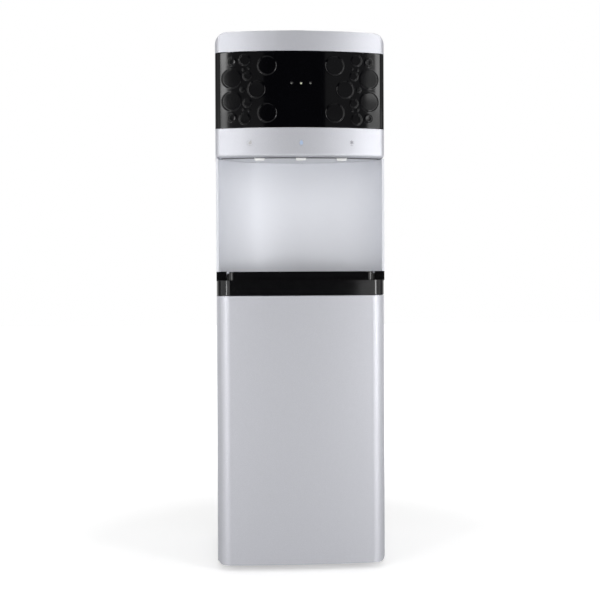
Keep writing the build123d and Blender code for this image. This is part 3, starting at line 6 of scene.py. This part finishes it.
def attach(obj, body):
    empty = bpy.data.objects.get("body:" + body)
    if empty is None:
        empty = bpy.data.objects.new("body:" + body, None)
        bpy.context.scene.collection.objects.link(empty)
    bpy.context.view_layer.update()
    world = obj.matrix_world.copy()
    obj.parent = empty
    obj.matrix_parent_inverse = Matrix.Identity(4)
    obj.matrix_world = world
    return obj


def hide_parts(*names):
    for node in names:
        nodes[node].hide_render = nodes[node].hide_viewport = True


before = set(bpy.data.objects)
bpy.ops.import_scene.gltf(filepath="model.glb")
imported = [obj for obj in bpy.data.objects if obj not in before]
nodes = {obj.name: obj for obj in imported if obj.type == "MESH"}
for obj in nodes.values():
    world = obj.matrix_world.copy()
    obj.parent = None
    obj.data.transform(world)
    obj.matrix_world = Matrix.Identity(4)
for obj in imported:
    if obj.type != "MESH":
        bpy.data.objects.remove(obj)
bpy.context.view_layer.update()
scene = bpy.context.scene

MM = 0.001

# Plan outline of the head, in metres: the front's bow, its middle on the Y axis, the corners, half the width
BOW_RADIUS = 0.43937
BOW_MIDDLE = -0.160 + BOW_RADIUS
CORNER = 0.014
HALF_WIDTH = 0.153


# Shader helpers

def new_material(name):
    mat = bpy.data.materials.new(name)
    mat.use_nodes = True
    tree = mat.node_tree
    tree.nodes.clear()
    out = tree.nodes.new("ShaderNodeOutputMaterial")
    bsdf = tree.nodes.new("ShaderNodeBsdfPrincipled")
    tree.links.new(bsdf.outputs["BSDF"], out.inputs["Surface"])
    return mat, tree, bsdf


def coords(tree, scale=(1.0, 1.0, 1.0)):
    tex = tree.nodes.new("ShaderNodeTexCoord")
    mapping = tree.nodes.new("ShaderNodeMapping")
    mapping.inputs["Scale"].default_value = scale
    tree.links.new(tex.outputs["Object"], mapping.inputs["Vector"])
    return mapping.outputs["Vector"]


def noise(tree, vector, scale, detail=2.0, rough=0.5):
    node = tree.nodes.new("ShaderNodeTexNoise")
    node.inputs["Scale"].default_value = scale
    node.inputs["Detail"].default_value = detail
    node.inputs["Roughness"].default_value = rough
    tree.links.new(vector, node.inputs["Vector"])
    return node.outputs["Fac"]


def ramp(tree, fac, stops):
    node = tree.nodes.new("ShaderNodeValToRGB")
    elements = node.color_ramp.elements
    while len(elements) > 1:
        elements.remove(elements[-1])
    elements[0].position, elements[0].color = stops[0][0], (*stops[0][1], 1.0)
    for position, colour in stops[1:]:
        element = elements.new(position)
        element.color = (*colour, 1.0)
    tree.links.new(fac, node.inputs["Fac"])
    return node.outputs["Color"]


def remap(tree, value, start, end, low=0.0, high=1.0):
    node = tree.nodes.new("ShaderNodeMapRange")
    node.inputs["From Min"].default_value = start
    node.inputs["From Max"].default_value = end
    node.inputs["To Min"].default_value = low
    node.inputs["To Max"].default_value = high
    tree.links.new(value, node.inputs["Value"])
    return node.outputs["Result"]


def spread(tree, fac, low, high):
    return remap(tree, fac, 0.25, 0.75, low, high)


def along(tree, vector, axis):
    node = tree.nodes.new("ShaderNodeSeparateXYZ")
    tree.links.new(vector, node.inputs["Vector"])
    return node.outputs[axis]


def length(tree, vector):
    node = tree.nodes.new("ShaderNodeVectorMath")
    node.operation = "LENGTH"
    tree.links.new(vector, node.inputs[0])
    return node.outputs["Value"]


def combine(tree, operation, *values):
    node = tree.nodes.new("ShaderNodeMath")
    node.operation = operation
    for socket, value in zip(node.inputs, values):
        tree.links.new(value, socket)
    return node.outputs["Value"]


def backdrop_share(tree, behind):
    """1 for camera rays, and for mirror and glass rays as far as they reach what stands behind the object."""
    path = tree.nodes.new("ShaderNodeLightPath")
    bent = combine(tree, "MAXIMUM", path.outputs["Is Glossy Ray"], path.outputs["Is Transmission Ray"])
    bent = combine(tree, "MULTIPLY", bent, behind)
    return combine(tree, "MAXIMUM", path.outputs["Is Camera Ray"], bent)


def shader_of(mat):
    return next(n for n in mat.node_tree.nodes if n.type == "BSDF_PRINCIPLED")


def shade(colour, factor):
    return tuple(min(1.0, c * factor) for c in colour)


def surface(name, colour, rough, metal=0.0, grain=900.0, grain_depth=0.00002, mottle=0.03, streak=(1, 1, 1),
            coat=0.0, coat_rough=0.1, edge=0.0, rough_spread=0.04, specular=0.5):
    """A moulded, painted or rolled surface: mottled colour, uneven gloss, fine grain and softened edges."""
    mat, tree, bsdf = new_material(name)
    vector = coords(tree, streak)
    broad = noise(tree, vector, 7.0, 3.0)
    fine = noise(tree, vector, grain, 2.0)
    tone = ramp(tree, broad, [(0.25, shade(colour, 1.0 - mottle)), (0.75, shade(colour, 1.0 + mottle))])
    tree.links.new(tone, bsdf.inputs["Base Color"])
    tree.links.new(spread(tree, fine, rough - rough_spread, rough + rough_spread), bsdf.inputs["Roughness"])
    bsdf.inputs["Metallic"].default_value = metal
    bsdf.inputs["Specular IOR Level"].default_value = specular
    bsdf.inputs["Coat Weight"].default_value = coat
    bsdf.inputs["Coat Roughness"].default_value = coat_rough
    bump = tree.nodes.new("ShaderNodeBump")
    bump.inputs["Strength"].default_value = 1.0
    bump.inputs["Distance"].default_value = grain_depth
    tree.links.new(fine, bump.inputs["Height"])
    if edge:
        bevel = tree.nodes.new("ShaderNodeBevel")
        bevel.samples = 4
        bevel.inputs["Radius"].default_value = edge
        tree.links.new(bevel.outputs["Normal"], bump.inputs["Normal"])
    tree.links.new(bump.outputs["Normal"], bsdf.inputs["Normal"])
    return mat


def flake_paint(name, colour, rough, metal, edge):
    """Silver paint: tiny bright flakes under a satin film, with a slight unevenness of the film."""
    mat, tree, bsdf = new_material(name)
    vector = coords(tree)
    cells = tree.nodes.new("ShaderNodeTexVoronoi")
    cells.inputs["Scale"].default_value = 2600.0
    tree.links.new(vector, cells.inputs["Vector"])
    flakes = tree.nodes.new("ShaderNodeSeparateColor")
    tree.links.new(cells.outputs["Color"], flakes.inputs["Color"])
    stops = [(0.0, shade(colour, 0.94)), (0.8, colour), (1.0, shade(colour, 1.08))]
    tone = ramp(tree, flakes.outputs["Red"], stops)
    tree.links.new(tone, bsdf.inputs["Base Color"])
    film = noise(tree, vector, 18.0, 3.0)
    tree.links.new(spread(tree, film, rough - 0.012, rough + 0.012), bsdf.inputs["Roughness"])
    bsdf.inputs["Metallic"].default_value = metal
    bump = tree.nodes.new("ShaderNodeBump")
    bump.inputs["Distance"].default_value = 0.000004
    tree.links.new(noise(tree, vector, 700.0, 2.0), bump.inputs["Height"])
    if edge:
        bevel = tree.nodes.new("ShaderNodeBevel")
        bevel.samples = 4
        bevel.inputs["Radius"].default_value = edge
        tree.links.new(bevel.outputs["Normal"], bump.inputs["Normal"])
    tree.links.new(bump.outputs["Normal"], bsdf.inputs["Normal"])
    return mat


SILVER = (0.593, 0.60, 0.642)
silver = flake_paint("silver_paint", SILVER, 0.48, 0.65, 0.0008)
alcove = surface(
    "alcove_satin", (0.75, 0.762, 0.805), 0.58, metal=0.3, grain=1400,
    grain_depth=0.000006, mottle=0.008, edge=0.0006
)
black_gloss = surface(
    "black_gloss", (0.003, 0.003, 0.0035), 0.12, grain=60, grain_depth=0.00001,
    mottle=0.1, edge=0.0008, rough_spread=0.03, specular=0.4
)
fascia_gloss = surface(
    "fascia_gloss", (0.0012, 0.0012, 0.0018), 0.08, grain=40,
    grain_depth=0.000004, mottle=0.1, rough_spread=0.02, specular=0.2
)
white_satin = surface(
    "white_satin", (0.80, 0.80, 0.80), 0.35, grain=800, grain_depth=0.00001, mottle=0.01, edge=0.0006
)
white_plain = surface(
    "white_plain", (0.76, 0.76, 0.75), 0.45, grain=500, grain_depth=0.00003, mottle=0.015, edge=0.0006
)
natural = surface(
    "natural_nylon", (0.70, 0.69, 0.64), 0.42, grain=700, grain_depth=0.00002, mottle=0.03, edge=0.0005
)
case_paint = surface(
    "case_paint", (0.52, 0.52, 0.545), 0.40, metal=0.5, grain=420,
    grain_depth=0.00003, mottle=0.012, edge=0.0008
)
cover_grey = surface(
    "cover_grey", (0.36, 0.36, 0.38), 0.55, grain=260, grain_depth=0.00008, mottle=0.02, edge=0.0006
)
zinc = surface(
    "zinc_sheet", (0.62, 0.64, 0.66), 0.36, metal=1.0, grain=120,
    grain_depth=0.00002, mottle=0.10, edge=0.0004, streak=(1, 1, 0.35)
)
plated = surface(
    "zinc_plated", (0.66, 0.66, 0.64), 0.28, metal=1.0, grain=900,
    grain_depth=0.00001, mottle=0.05, edge=0.0003
)
stainless = surface(
    "stainless", (0.66, 0.66, 0.65), 0.25, metal=1.0, grain=700,
    grain_depth=0.00001, mottle=0.03, streak=(1, 1, 14), edge=0.0005
)
copper = surface(
    "copper_tube", (0.72, 0.36, 0.22), 0.28, metal=1.0, grain=400,
    grain_depth=0.00001, mottle=0.12, edge=0.0002
)
rubber = surface(
    "black_rubber", (0.020, 0.020, 0.021), 0.70, grain=600, grain_depth=0.00005, mottle=0.15, edge=0.0008
)
gasket_grey = surface(
    "gasket_grey", (0.30, 0.30, 0.31), 0.60, grain=500, grain_depth=0.00003, mottle=0.03, edge=0.001
)
enamel = surface(
    "black_enamel", (0.016, 0.016, 0.017), 0.32, grain=220,
    grain_depth=0.00004, mottle=0.10, edge=0.0006, coat=0.3
)
satin_black = surface(
    "satin_black", (0.022, 0.022, 0.023), 0.42, grain=600, grain_depth=0.00003, mottle=0.10, edge=0.0006
)
foam = surface("foam", (0.74, 0.70, 0.58), 0.85, grain=240, grain_depth=0.0006, mottle=0.06)
board_green = surface(
    "board_green", (0.02, 0.14, 0.06), 0.35, grain=300, grain_depth=0.00004, mottle=0.10, edge=0.0003
)
mica = surface(
    "mica_band", (0.40, 0.36, 0.30), 0.45, metal=0.4, grain=200, grain_depth=0.00005, mottle=0.12
)
silicone = surface("silicone_hose", (0.72, 0.73, 0.70), 0.40, grain=500, grain_depth=0.00002, mottle=0.03)
red_rocker = surface(
    "red_rocker", (0.42, 0.012, 0.010), 0.25, grain=500, grain_depth=0.00001, mottle=0.04, edge=0.0006
)
green_rocker = surface(
    "green_rocker", (0.010, 0.20, 0.06), 0.25, grain=500, grain_depth=0.00001, mottle=0.04, edge=0.0006
)


# How far behind the bow the painted shade on the ceiling reaches: a dark band painted where the silver strip
# shades the ceiling
PAINTED_SHADE_REACH = 22.87 * MM


def underside(rim, painted_shade_colour):
    """Pale moulded ceiling with painted shade: a near-black band painted along its front edge, where it meets
    the back of the silver strip and lies in its shadow.
    """
    mat = surface("underside_with_painted_shade", (0.72, 0.73, 0.76), 0.50, grain=500, grain_depth=0.00003, mottle=0.03)
    tree, bsdf = mat.node_tree, shader_of(mat)
    pale = bsdf.inputs["Base Color"].links[0].from_socket
    flat = tree.nodes.new("ShaderNodeMapping")
    flat.inputs["Location"].default_value = (0.0, -BOW_MIDDLE, 0.0)
    flat.inputs["Scale"].default_value = (1.0, 1.0, 0.0)
    tree.links.new(coords(tree), flat.inputs["Vector"])
    blend = tree.nodes.new("ShaderNodeMix")
    blend.data_type = "RGBA"
    # Painted shade: within the given reach of the bow's front, the ceiling's colour is blended to the dark
    # shade colour
    share = remap(tree, length(tree, flat.outputs["Vector"]), rim - 1.0 * MM, rim)
    tree.links.new(share, blend.inputs["Factor"])
    tree.links.new(pale, blend.inputs[6])
    blend.inputs[7].default_value = (*painted_shade_colour, 1.0)
    tree.links.new(blend.outputs[2], bsdf.inputs["Base Color"])
    return mat


# The near-black colour here is painted shade under the strip's lip, not a moulded part
underside_with_painted_shade = underside(BOW_RADIUS - PAINTED_SHADE_REACH, (0.06, 0.06, 0.065))


def lamp_lens():
    """Clear lenses over three lamps: the middle one is lit, its neighbours only glimmer."""
    mat = surface("lamp_lens", (0.10, 0.10, 0.10), 0.12, grain=400, grain_depth=0.00001, mottle=0.05)
    tree, bsdf = mat.node_tree, shader_of(mat)
    away = combine(tree, "ABSOLUTE", along(tree, coords(tree), "X"))
    lit = remap(tree, away, 4.0 * MM, 10.0 * MM, 0.6, 0.04)
    tree.links.new(lit, bsdf.inputs["Emission Strength"])
    bsdf.inputs["Emission Color"].default_value = (0.86, 0.90, 0.62, 1.0)
    return mat


lens = lamp_lens()

FINISH = {
    silver: "head_shell lower_panel door_skin icon_marks",
    alcove: "alcove_liner",
    black_gloss: "waist_bezel drip_tray drip_grille",
    fascia_gloss: "fascia",
    white_satin: "lever_hot lever_normal lever_cold bottle_collar water_guard",
    underside_with_painted_shade: "head_underside",
    white_plain: "storage_liner door_liner shelf cold_baffle drain_spigot",
    natural: "plunger_hot plunger_normal plunger_cold tap_bodies door_bushes",
    case_paint: "side_panel_left side_panel_right",
    cover_grey: "rear_cover",
    zinc: "rear_panel base_plate mid_deck tank_shelf",
    plated: "hinge_brackets hinge_pins case_screws",
    stainless: "cold_tank hot_tank",
    copper: "evaporator_coil refrigerant_tubes filter_drier",
    rubber: "feet compressor_mounts cord_gland drain_cap",
    gasket_grey: "door_gasket",
    enamel: "compressor condenser_tube condenser_wires",
    satin_black: "condenser_brackets switch_plate relay_cover hot_thermostats",
    foam: "tank_insulation hot_jacket",
    board_green: "control_board",
    mica: "heater_band",
    silicone: "water_hoses",
    red_rocker: "switch_hot",
    green_rocker: "switch_cold",
    lens: "led_lenses",
}
for mat, names in FINISH.items():
    for name in names.split():
        node = nodes[name]
        node.data.materials.clear()
        node.data.materials.append(mat)


# Fascia: the gloss band with its raised discs, as a relief that follows the head's plan outline

FASCIA_LOW, FASCIA_HIGH = 0.79295, 0.92865
FASCIA_CENTRE = (FASCIA_LOW + FASCIA_HIGH) / 2
# Where the band stops on each side, going back, and the thickness of its wall
FASCIA_END = -0.0983
FASCIA_WALL = 2.4 * MM
# Each disc: its distance from the middle, its level above and below mid-height, its radius, in millimetres
DISCS = [(122.0, 50.0, 8.0), (123.0, 20.2, 18.0), (100.0, 52.5, 10.4), (95.3, 24.0, 8.2), (60.3, 42.0, 17.4),
         (102.0, 35.6, 2.3), (92.0, 37.4, 1.8), (79.1, 0.0, 16.1), (104.1, 0.0, 4.7)]
DISC_RISE, DISC_DISH, DISC_SHOULDER = 1.15, 0.2, 2.0
# The discs lie on the bow, where the outline has turned by less than this, in radians
DISCS_TURN = 0.34
# Three lamps in a row above mid-height, in metres, and the radius (m) and depth (mm) of the dimple at each
LAMP_SPOTS = [(-0.017, 0.0108), (0.0, 0.0108), (0.017, 0.0108)]
LAMP_DIMPLE, LAMP_DEPTH = 0.0021, 0.8
# Spacing of the mesh's columns, which is wider where the bow is bare, between the lamps and the discs
FINE_STEP, PLAIN_STEP, SIDE_STEP = 0.0008, 0.003, 0.004
PLAIN_FROM, PLAIN_TO = 0.0205, 0.041
CORNER_STEPS, FASCIA_ROWS = 22, 170
# How far the first rows at the upper and lower edges lie back, for a softened edge
RIM_SETBACKS = (0.35 * MM, 0.08 * MM)


def head_face(x):
    return BOW_MIDDLE - math.sqrt(BOW_RADIUS ** 2 - x ** 2)


def smooth(t):
    t = max(0.0, min(1.0, t))
    return t * t * (3 - 2 * t)


def disc_height(x, z):
    """Height of the relief, with a rounded shoulder on each disc and a shallow dish in its face."""
    height = 0.0
    for across, up, radius in DISCS:
        for level in ((up, -up) if up else (0.0,)):
            away = math.hypot(abs(x) / MM - across, (z - FASCIA_CENTRE) / MM - level)
            if away < radius:
                shoulder = min(DISC_SHOULDER, 0.5 * radius)
                rise = smooth((radius - away) / shoulder)
                dish = DISC_DISH * max(0.0, 1 - (away / (radius - shoulder)) ** 2)
                height = max(height, DISC_RISE * rise - dish)
    for spot_x, spot_z in LAMP_SPOTS:
        if math.hypot(x - spot_x, z - FASCIA_CENTRE - spot_z) < LAMP_DIMPLE:
            height = -LAMP_DEPTH
    return height * MM


def fascia_columns():
    """Points and outward normals along the outline, from the left end round the front to the right end."""
    corner_y = BOW_MIDDLE - math.sqrt((BOW_RADIUS - CORNER) ** 2 - (HALF_WIDTH - CORNER) ** 2)
    tangent = math.asin((HALF_WIDTH - CORNER) / (BOW_RADIUS - CORNER))
    bow_end = BOW_RADIUS * math.sin(tangent)
    columns = []
    x = 0.0
    while x < bow_end:
        columns.append((x, head_face(x), math.asin(x / BOW_RADIUS)))
        fine = x < PLAIN_FROM or x > PLAIN_TO
        x += FINE_STEP if fine else PLAIN_STEP
    for i in range(CORNER_STEPS + 1):
        turn = tangent + (math.pi / 2 - tangent) * i / CORNER_STEPS
        x = HALF_WIDTH - CORNER + CORNER * math.sin(turn)
        columns.append((x, corner_y - CORNER * math.cos(turn), turn))
    y = corner_y + SIDE_STEP
    while y < FASCIA_END:
        columns.append((HALF_WIDTH, y, math.pi / 2))
        y += SIDE_STEP
    columns.append((HALF_WIDTH, FASCIA_END, math.pi / 2))
    left = [(-x, y, -turn) for x, y, turn in reversed(columns[1:])]
    return left + columns


def add_piece(name, verts, faces, mat):
    """A new mesh piece on the cabinet."""
    mesh = bpy.data.meshes.new(name)
    mesh.from_pydata(verts, [], faces)
    mesh.update()
    piece = bpy.data.objects.new(name, mesh)
    scene.collection.objects.link(piece)
    piece.data.materials.append(mat)
    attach(piece, "cabinet")
    return piece


def fascia_relief():
    columns = fascia_columns()
    verts, faces = [], []
    for x, y, turn in columns:
        for j in range(FASCIA_ROWS + 1):
            z = FASCIA_LOW + (FASCIA_HIGH - FASCIA_LOW) * j / FASCIA_ROWS
            edge = min(j, FASCIA_ROWS - j)
            out = disc_height(x, z) if abs(turn) < DISCS_TURN else 0.0
            out -= RIM_SETBACKS[edge] if edge < len(RIM_SETBACKS) else 0.0
            verts.append((x + math.sin(turn) * out, y - math.cos(turn) * out, z))
    stride = FASCIA_ROWS + 1
    for i in range(len(columns) - 1):
        for j in range(FASCIA_ROWS):
            k = i * stride + j
            faces.append((k, k + stride, k + stride + 1, k + 1))
    piece = add_piece("fascia_relief", verts, faces, fascia_gloss)
    piece.data.polygons.foreach_set("use_smooth", [True] * len(piece.data.polygons))
    wall = piece.modifiers.new("wall", "SOLIDIFY")
    wall.thickness = FASCIA_WALL
    wall.offset = -1.0
    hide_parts("fascia")


fascia_relief()


# Marks in the strip: a leaning drop, a drop in blue and a six-armed star, each over a short bar

MARK_LEVEL, INLAY_RISE = 0.7659, 0.06 * MM
DROP_POINTS = 28


def mark(name, centre_x, loops, mat):
    """Flat inlays on the bowed strip, each loop a closed outline in millimetres from the mark's middle."""
    verts, faces = [], []
    for loop in loops:
        start = len(verts)
        middle = (sum(p[0] for p in loop) / len(loop), sum(p[1] for p in loop) / len(loop))
        for px, pz in [middle] + loop:
            x = centre_x + px * MM
            verts.append((x, head_face(x) - INLAY_RISE, MARK_LEVEL + pz * MM))
        count = len(loop)
        faces += [(start, start + 1 + i, start + 1 + (i + 1) % count) for i in range(count)]
    add_piece(name, verts, faces, mat)


def drop_loop(size, lean=0.0):
    points = []
    for i in range(DROP_POINTS):
        t = 2 * math.pi * i / DROP_POINTS
        pinch = math.sin(t / 2) ** 1.6
        points.append((size * 0.52 * math.sin(t) * pinch + lean * size * (1 + math.cos(t)) ** 2 / 8,
                       size * 0.5 * math.cos(t)))
    return points


def bar_loop(wide, low, high):
    return [(-wide, low), (wide, low), (wide, high), (-wide, high)]


def arm_loop(reach, wide, angle):
    c, s = math.cos(angle), math.sin(angle)
    corners = [(-reach, -wide), (reach, -wide), (reach, wide), (-reach, wide)]
    return [(x * c - z * s, x * s + z * c) for x, z in corners]


def lift(loop, amount):
    return [(x, z + amount) for x, z in loop]


grey_ink = surface("grey_ink", (0.27, 0.27, 0.30), 0.45, grain=800, grain_depth=0.000005, mottle=0.04)
pale_ink = surface("pale_ink", (0.42, 0.415, 0.42), 0.45, grain=800, grain_depth=0.000005, mottle=0.04)
blue_ink = surface("blue_ink", (0.38, 0.48, 0.66), 0.40, grain=800, grain_depth=0.000005, mottle=0.04)
mark("mark_hot", -0.091, [lift(drop_loop(7.6, 0.5), 1.2), bar_loop(2.0, -4.9, -4.2)], pale_ink)
mark("mark_normal", 0.0, [lift(drop_loop(8.6), 0.9), bar_loop(2.6, -4.8, -4.0)], blue_ink)
mark("mark_cold", 0.091, [lift(arm_loop(3.5, 0.8, math.pi * k / 3 + math.pi / 6), 1.1) for k in range(3)]
     + [bar_loop(2.0, -4.9, -4.2)], grey_ink)


# Camera: level with the middle of the object, a little to its left

def place_camera():
    azimuth, distance, height = math.radians(3.66), 1996.0 * MM, 562.7 * MM
    tilt, roll = math.radians(0.68), math.radians(-0.248)
    data = bpy.data.cameras.new("camera")
    data.sensor_width = 36.0
    data.lens = 1116.0 / 600.0 * 36.0
    data.shift_y = -0.05
    data.clip_end = 60.0
    camera = bpy.data.objects.new("camera", data)
    scene.collection.objects.link(camera)
    forward = Vector(
        (math.sin(azimuth) * math.cos(tilt), math.cos(azimuth) * math.cos(tilt), -math.sin(tilt))
    )
    right = Vector((math.cos(azimuth), -math.sin(azimuth), 0.0))
    up = right.cross(forward)
    side = right * math.cos(roll) + up * math.sin(roll)
    above = up * math.cos(roll) - right * math.sin(roll)
    rotation = Matrix((side, above, -forward)).transposed()
    camera.matrix_world = rotation.to_4x4()
    aim = Vector((-2.8 * MM, -150.0 * MM, height))
    camera.location = aim - Vector((math.sin(azimuth), math.cos(azimuth), 0.0)) * distance
    scene.camera = camera


place_camera()


# Stage and light

def panel(name, bearings, heights, radiance, distance=2.6, mirrored=True):
    """A flat soft panel that faces the object, between two bearings from the front, positive to the right."""
    middle = math.radians((bearings[0] + bearings[1]) / 2)
    width = distance * math.radians(bearings[1] - bearings[0])
    height = heights[1] - heights[0]
    level = (heights[0] + heights[1]) / 2
    data = bpy.data.lights.new(name, "AREA")
    data.shape = "RECTANGLE"
    data.size = width
    data.size_y = height
    data.energy = math.pi * width * height * radiance
    lamp = bpy.data.objects.new(name, data)
    lamp.visible_glossy = mirrored
    scene.collection.objects.link(lamp)
    lamp.location = (math.sin(middle) * distance, -math.cos(middle) * distance, level)
    lamp.rotation_euler = (Vector((0, 0, level)) - lamp.location).to_track_quat("-Z", "Y").to_euler()


LOW, MID, HIGH, BACK = (0.02, 0.55), (0.55, 1.15), (1.15, 2.2), (0.3, 2.2)

# Name, bearings in degrees, heights in metres, radiance. The front panels are hidden from mirror rays, as a
# dark card does in a studio, so that the black gloss stays black.
PANELS = [
    ("left_edge_low", (-39, -35.5), LOW, 18.0),
    ("left_edge_mid", (-39, -35.5), MID, 8.4),
    ("left_edge_high", (-39, -35.5), HIGH, 14.5),
    ("left_soft_low", (-35.5, -16), LOW, 1.7),
    ("left_soft_mid", (-35.5, -16), MID, 0.5),
    ("left_soft_high", (-35.5, -16), HIGH, 0.32),
    ("left_side_low", (-90, -39), LOW, 1.1),
    ("left_side_mid", (-90, -39), MID, 1.7),
    ("left_side_high", (-90, -39), HIGH, 1.3),
    ("right_edge_low", (39, 48), LOW, 13.0),
    ("right_edge_mid", (39, 48), MID, 5.6),
    ("right_shoulder_high", (39, 43.5), HIGH, 1.8),
    ("right_edge_high", (43.5, 48.5), HIGH, 11.0),
    ("right_soft_low", (16, 39), LOW, 1.5),
    ("right_soft_high", (16, 39), HIGH, 0.42),
    ("right_soft_mid", (16, 39), MID, 0.35),
    ("right_side_mid", (48, 90), MID, 1.9),
    ("right_side_low", (48, 90), LOW, 1.0),
    ("right_side_high", (48, 90), HIGH, 0.9),
    ("front_low", (-16, 16), LOW, 1.3),
    ("front_mid", (-16, 16), MID, 0.4),
    ("front_high", (-16, 16), HIGH, 1.05),
    ("back_left", (190, 250), BACK, 0.35),
    ("back_right", (110, 170), BACK, 0.35),
]
for name, bearings, heights, radiance in PANELS:
    panel(name, bearings, heights, radiance, mirrored=not name.startswith("front"))


def top_light(side, height, radiance):
    data = bpy.data.lights.new("top", "AREA")
    data.shape = "SQUARE"
    data.size = side
    data.energy = math.pi * side * side * radiance
    lamp = bpy.data.objects.new("top", data)
    lamp.location = (0, -0.3, height)
    scene.collection.objects.link(lamp)


def studio_world():
    """A dim surround, lighter to the rear, with a white backdrop for the camera and for mirrors."""
    world = bpy.data.worlds.new("studio")
    scene.world = world
    world.use_nodes = True
    tree = world.node_tree
    tree.nodes.clear()
    out = tree.nodes.new("ShaderNodeOutputWorld")
    light, white = (tree.nodes.new("ShaderNodeBackground") for _ in range(2))
    for background in (light, white):
        background.inputs["Color"].default_value = (1, 1, 1, 1)
    direction = tree.nodes.new("ShaderNodeTexCoord")
    rearward = along(tree, direction.outputs["Generated"], "Y")
    tree.links.new(remap(tree, rearward, -0.2, 0.6, 0.02, 0.30), light.inputs["Strength"])
    pick = tree.nodes.new("ShaderNodeMixShader")
    tree.links.new(backdrop_share(tree, remap(tree, rearward, 0.5, 0.9)), pick.inputs["Fac"])
    tree.links.new(light.outputs["Background"], pick.inputs[1])
    tree.links.new(white.outputs["Background"], pick.inputs[2])
    tree.links.new(pick.outputs["Shader"], out.inputs["Surface"])


def studio_floor(size):
    """A pale floor that keeps the shadow near the object and fades into the white backdrop away from it."""
    bpy.ops.mesh.primitive_plane_add(size=size, location=(0, 0, 0))
    floor = bpy.context.active_object
    floor.name = "floor"
    mat, tree, bsdf = new_material("floor_white")
    bsdf.inputs["Base Color"].default_value = (0.82, 0.82, 0.82, 1)
    bsdf.inputs["Roughness"].default_value = 0.6
    glow = tree.nodes.new("ShaderNodeEmission")
    glow.inputs["Color"].default_value = (1, 1, 1, 1)
    fade = remap(tree, length(tree, coords(tree)), 0.4, 1.3, 0.45, 1.0)
    share = backdrop_share(tree, remap(tree, along(tree, coords(tree), "Y"), 0.3, 1.5))
    tree.links.new(combine(tree, "MULTIPLY", share, fade), glow.inputs["Strength"])
    add = tree.nodes.new("ShaderNodeAddShader")
    out = next(n for n in tree.nodes if n.type == "OUTPUT_MATERIAL")
    tree.links.new(bsdf.outputs["BSDF"], add.inputs[0])
    tree.links.new(glow.outputs["Emission"], add.inputs[1])
    tree.links.new(add.outputs["Shader"], out.inputs["Surface"])
    floor.data.materials.append(mat)


top_light(3.0, 3.2, 1.0)
studio_world()
studio_floor(14.0)

scene.view_settings.view_transform = "Standard"
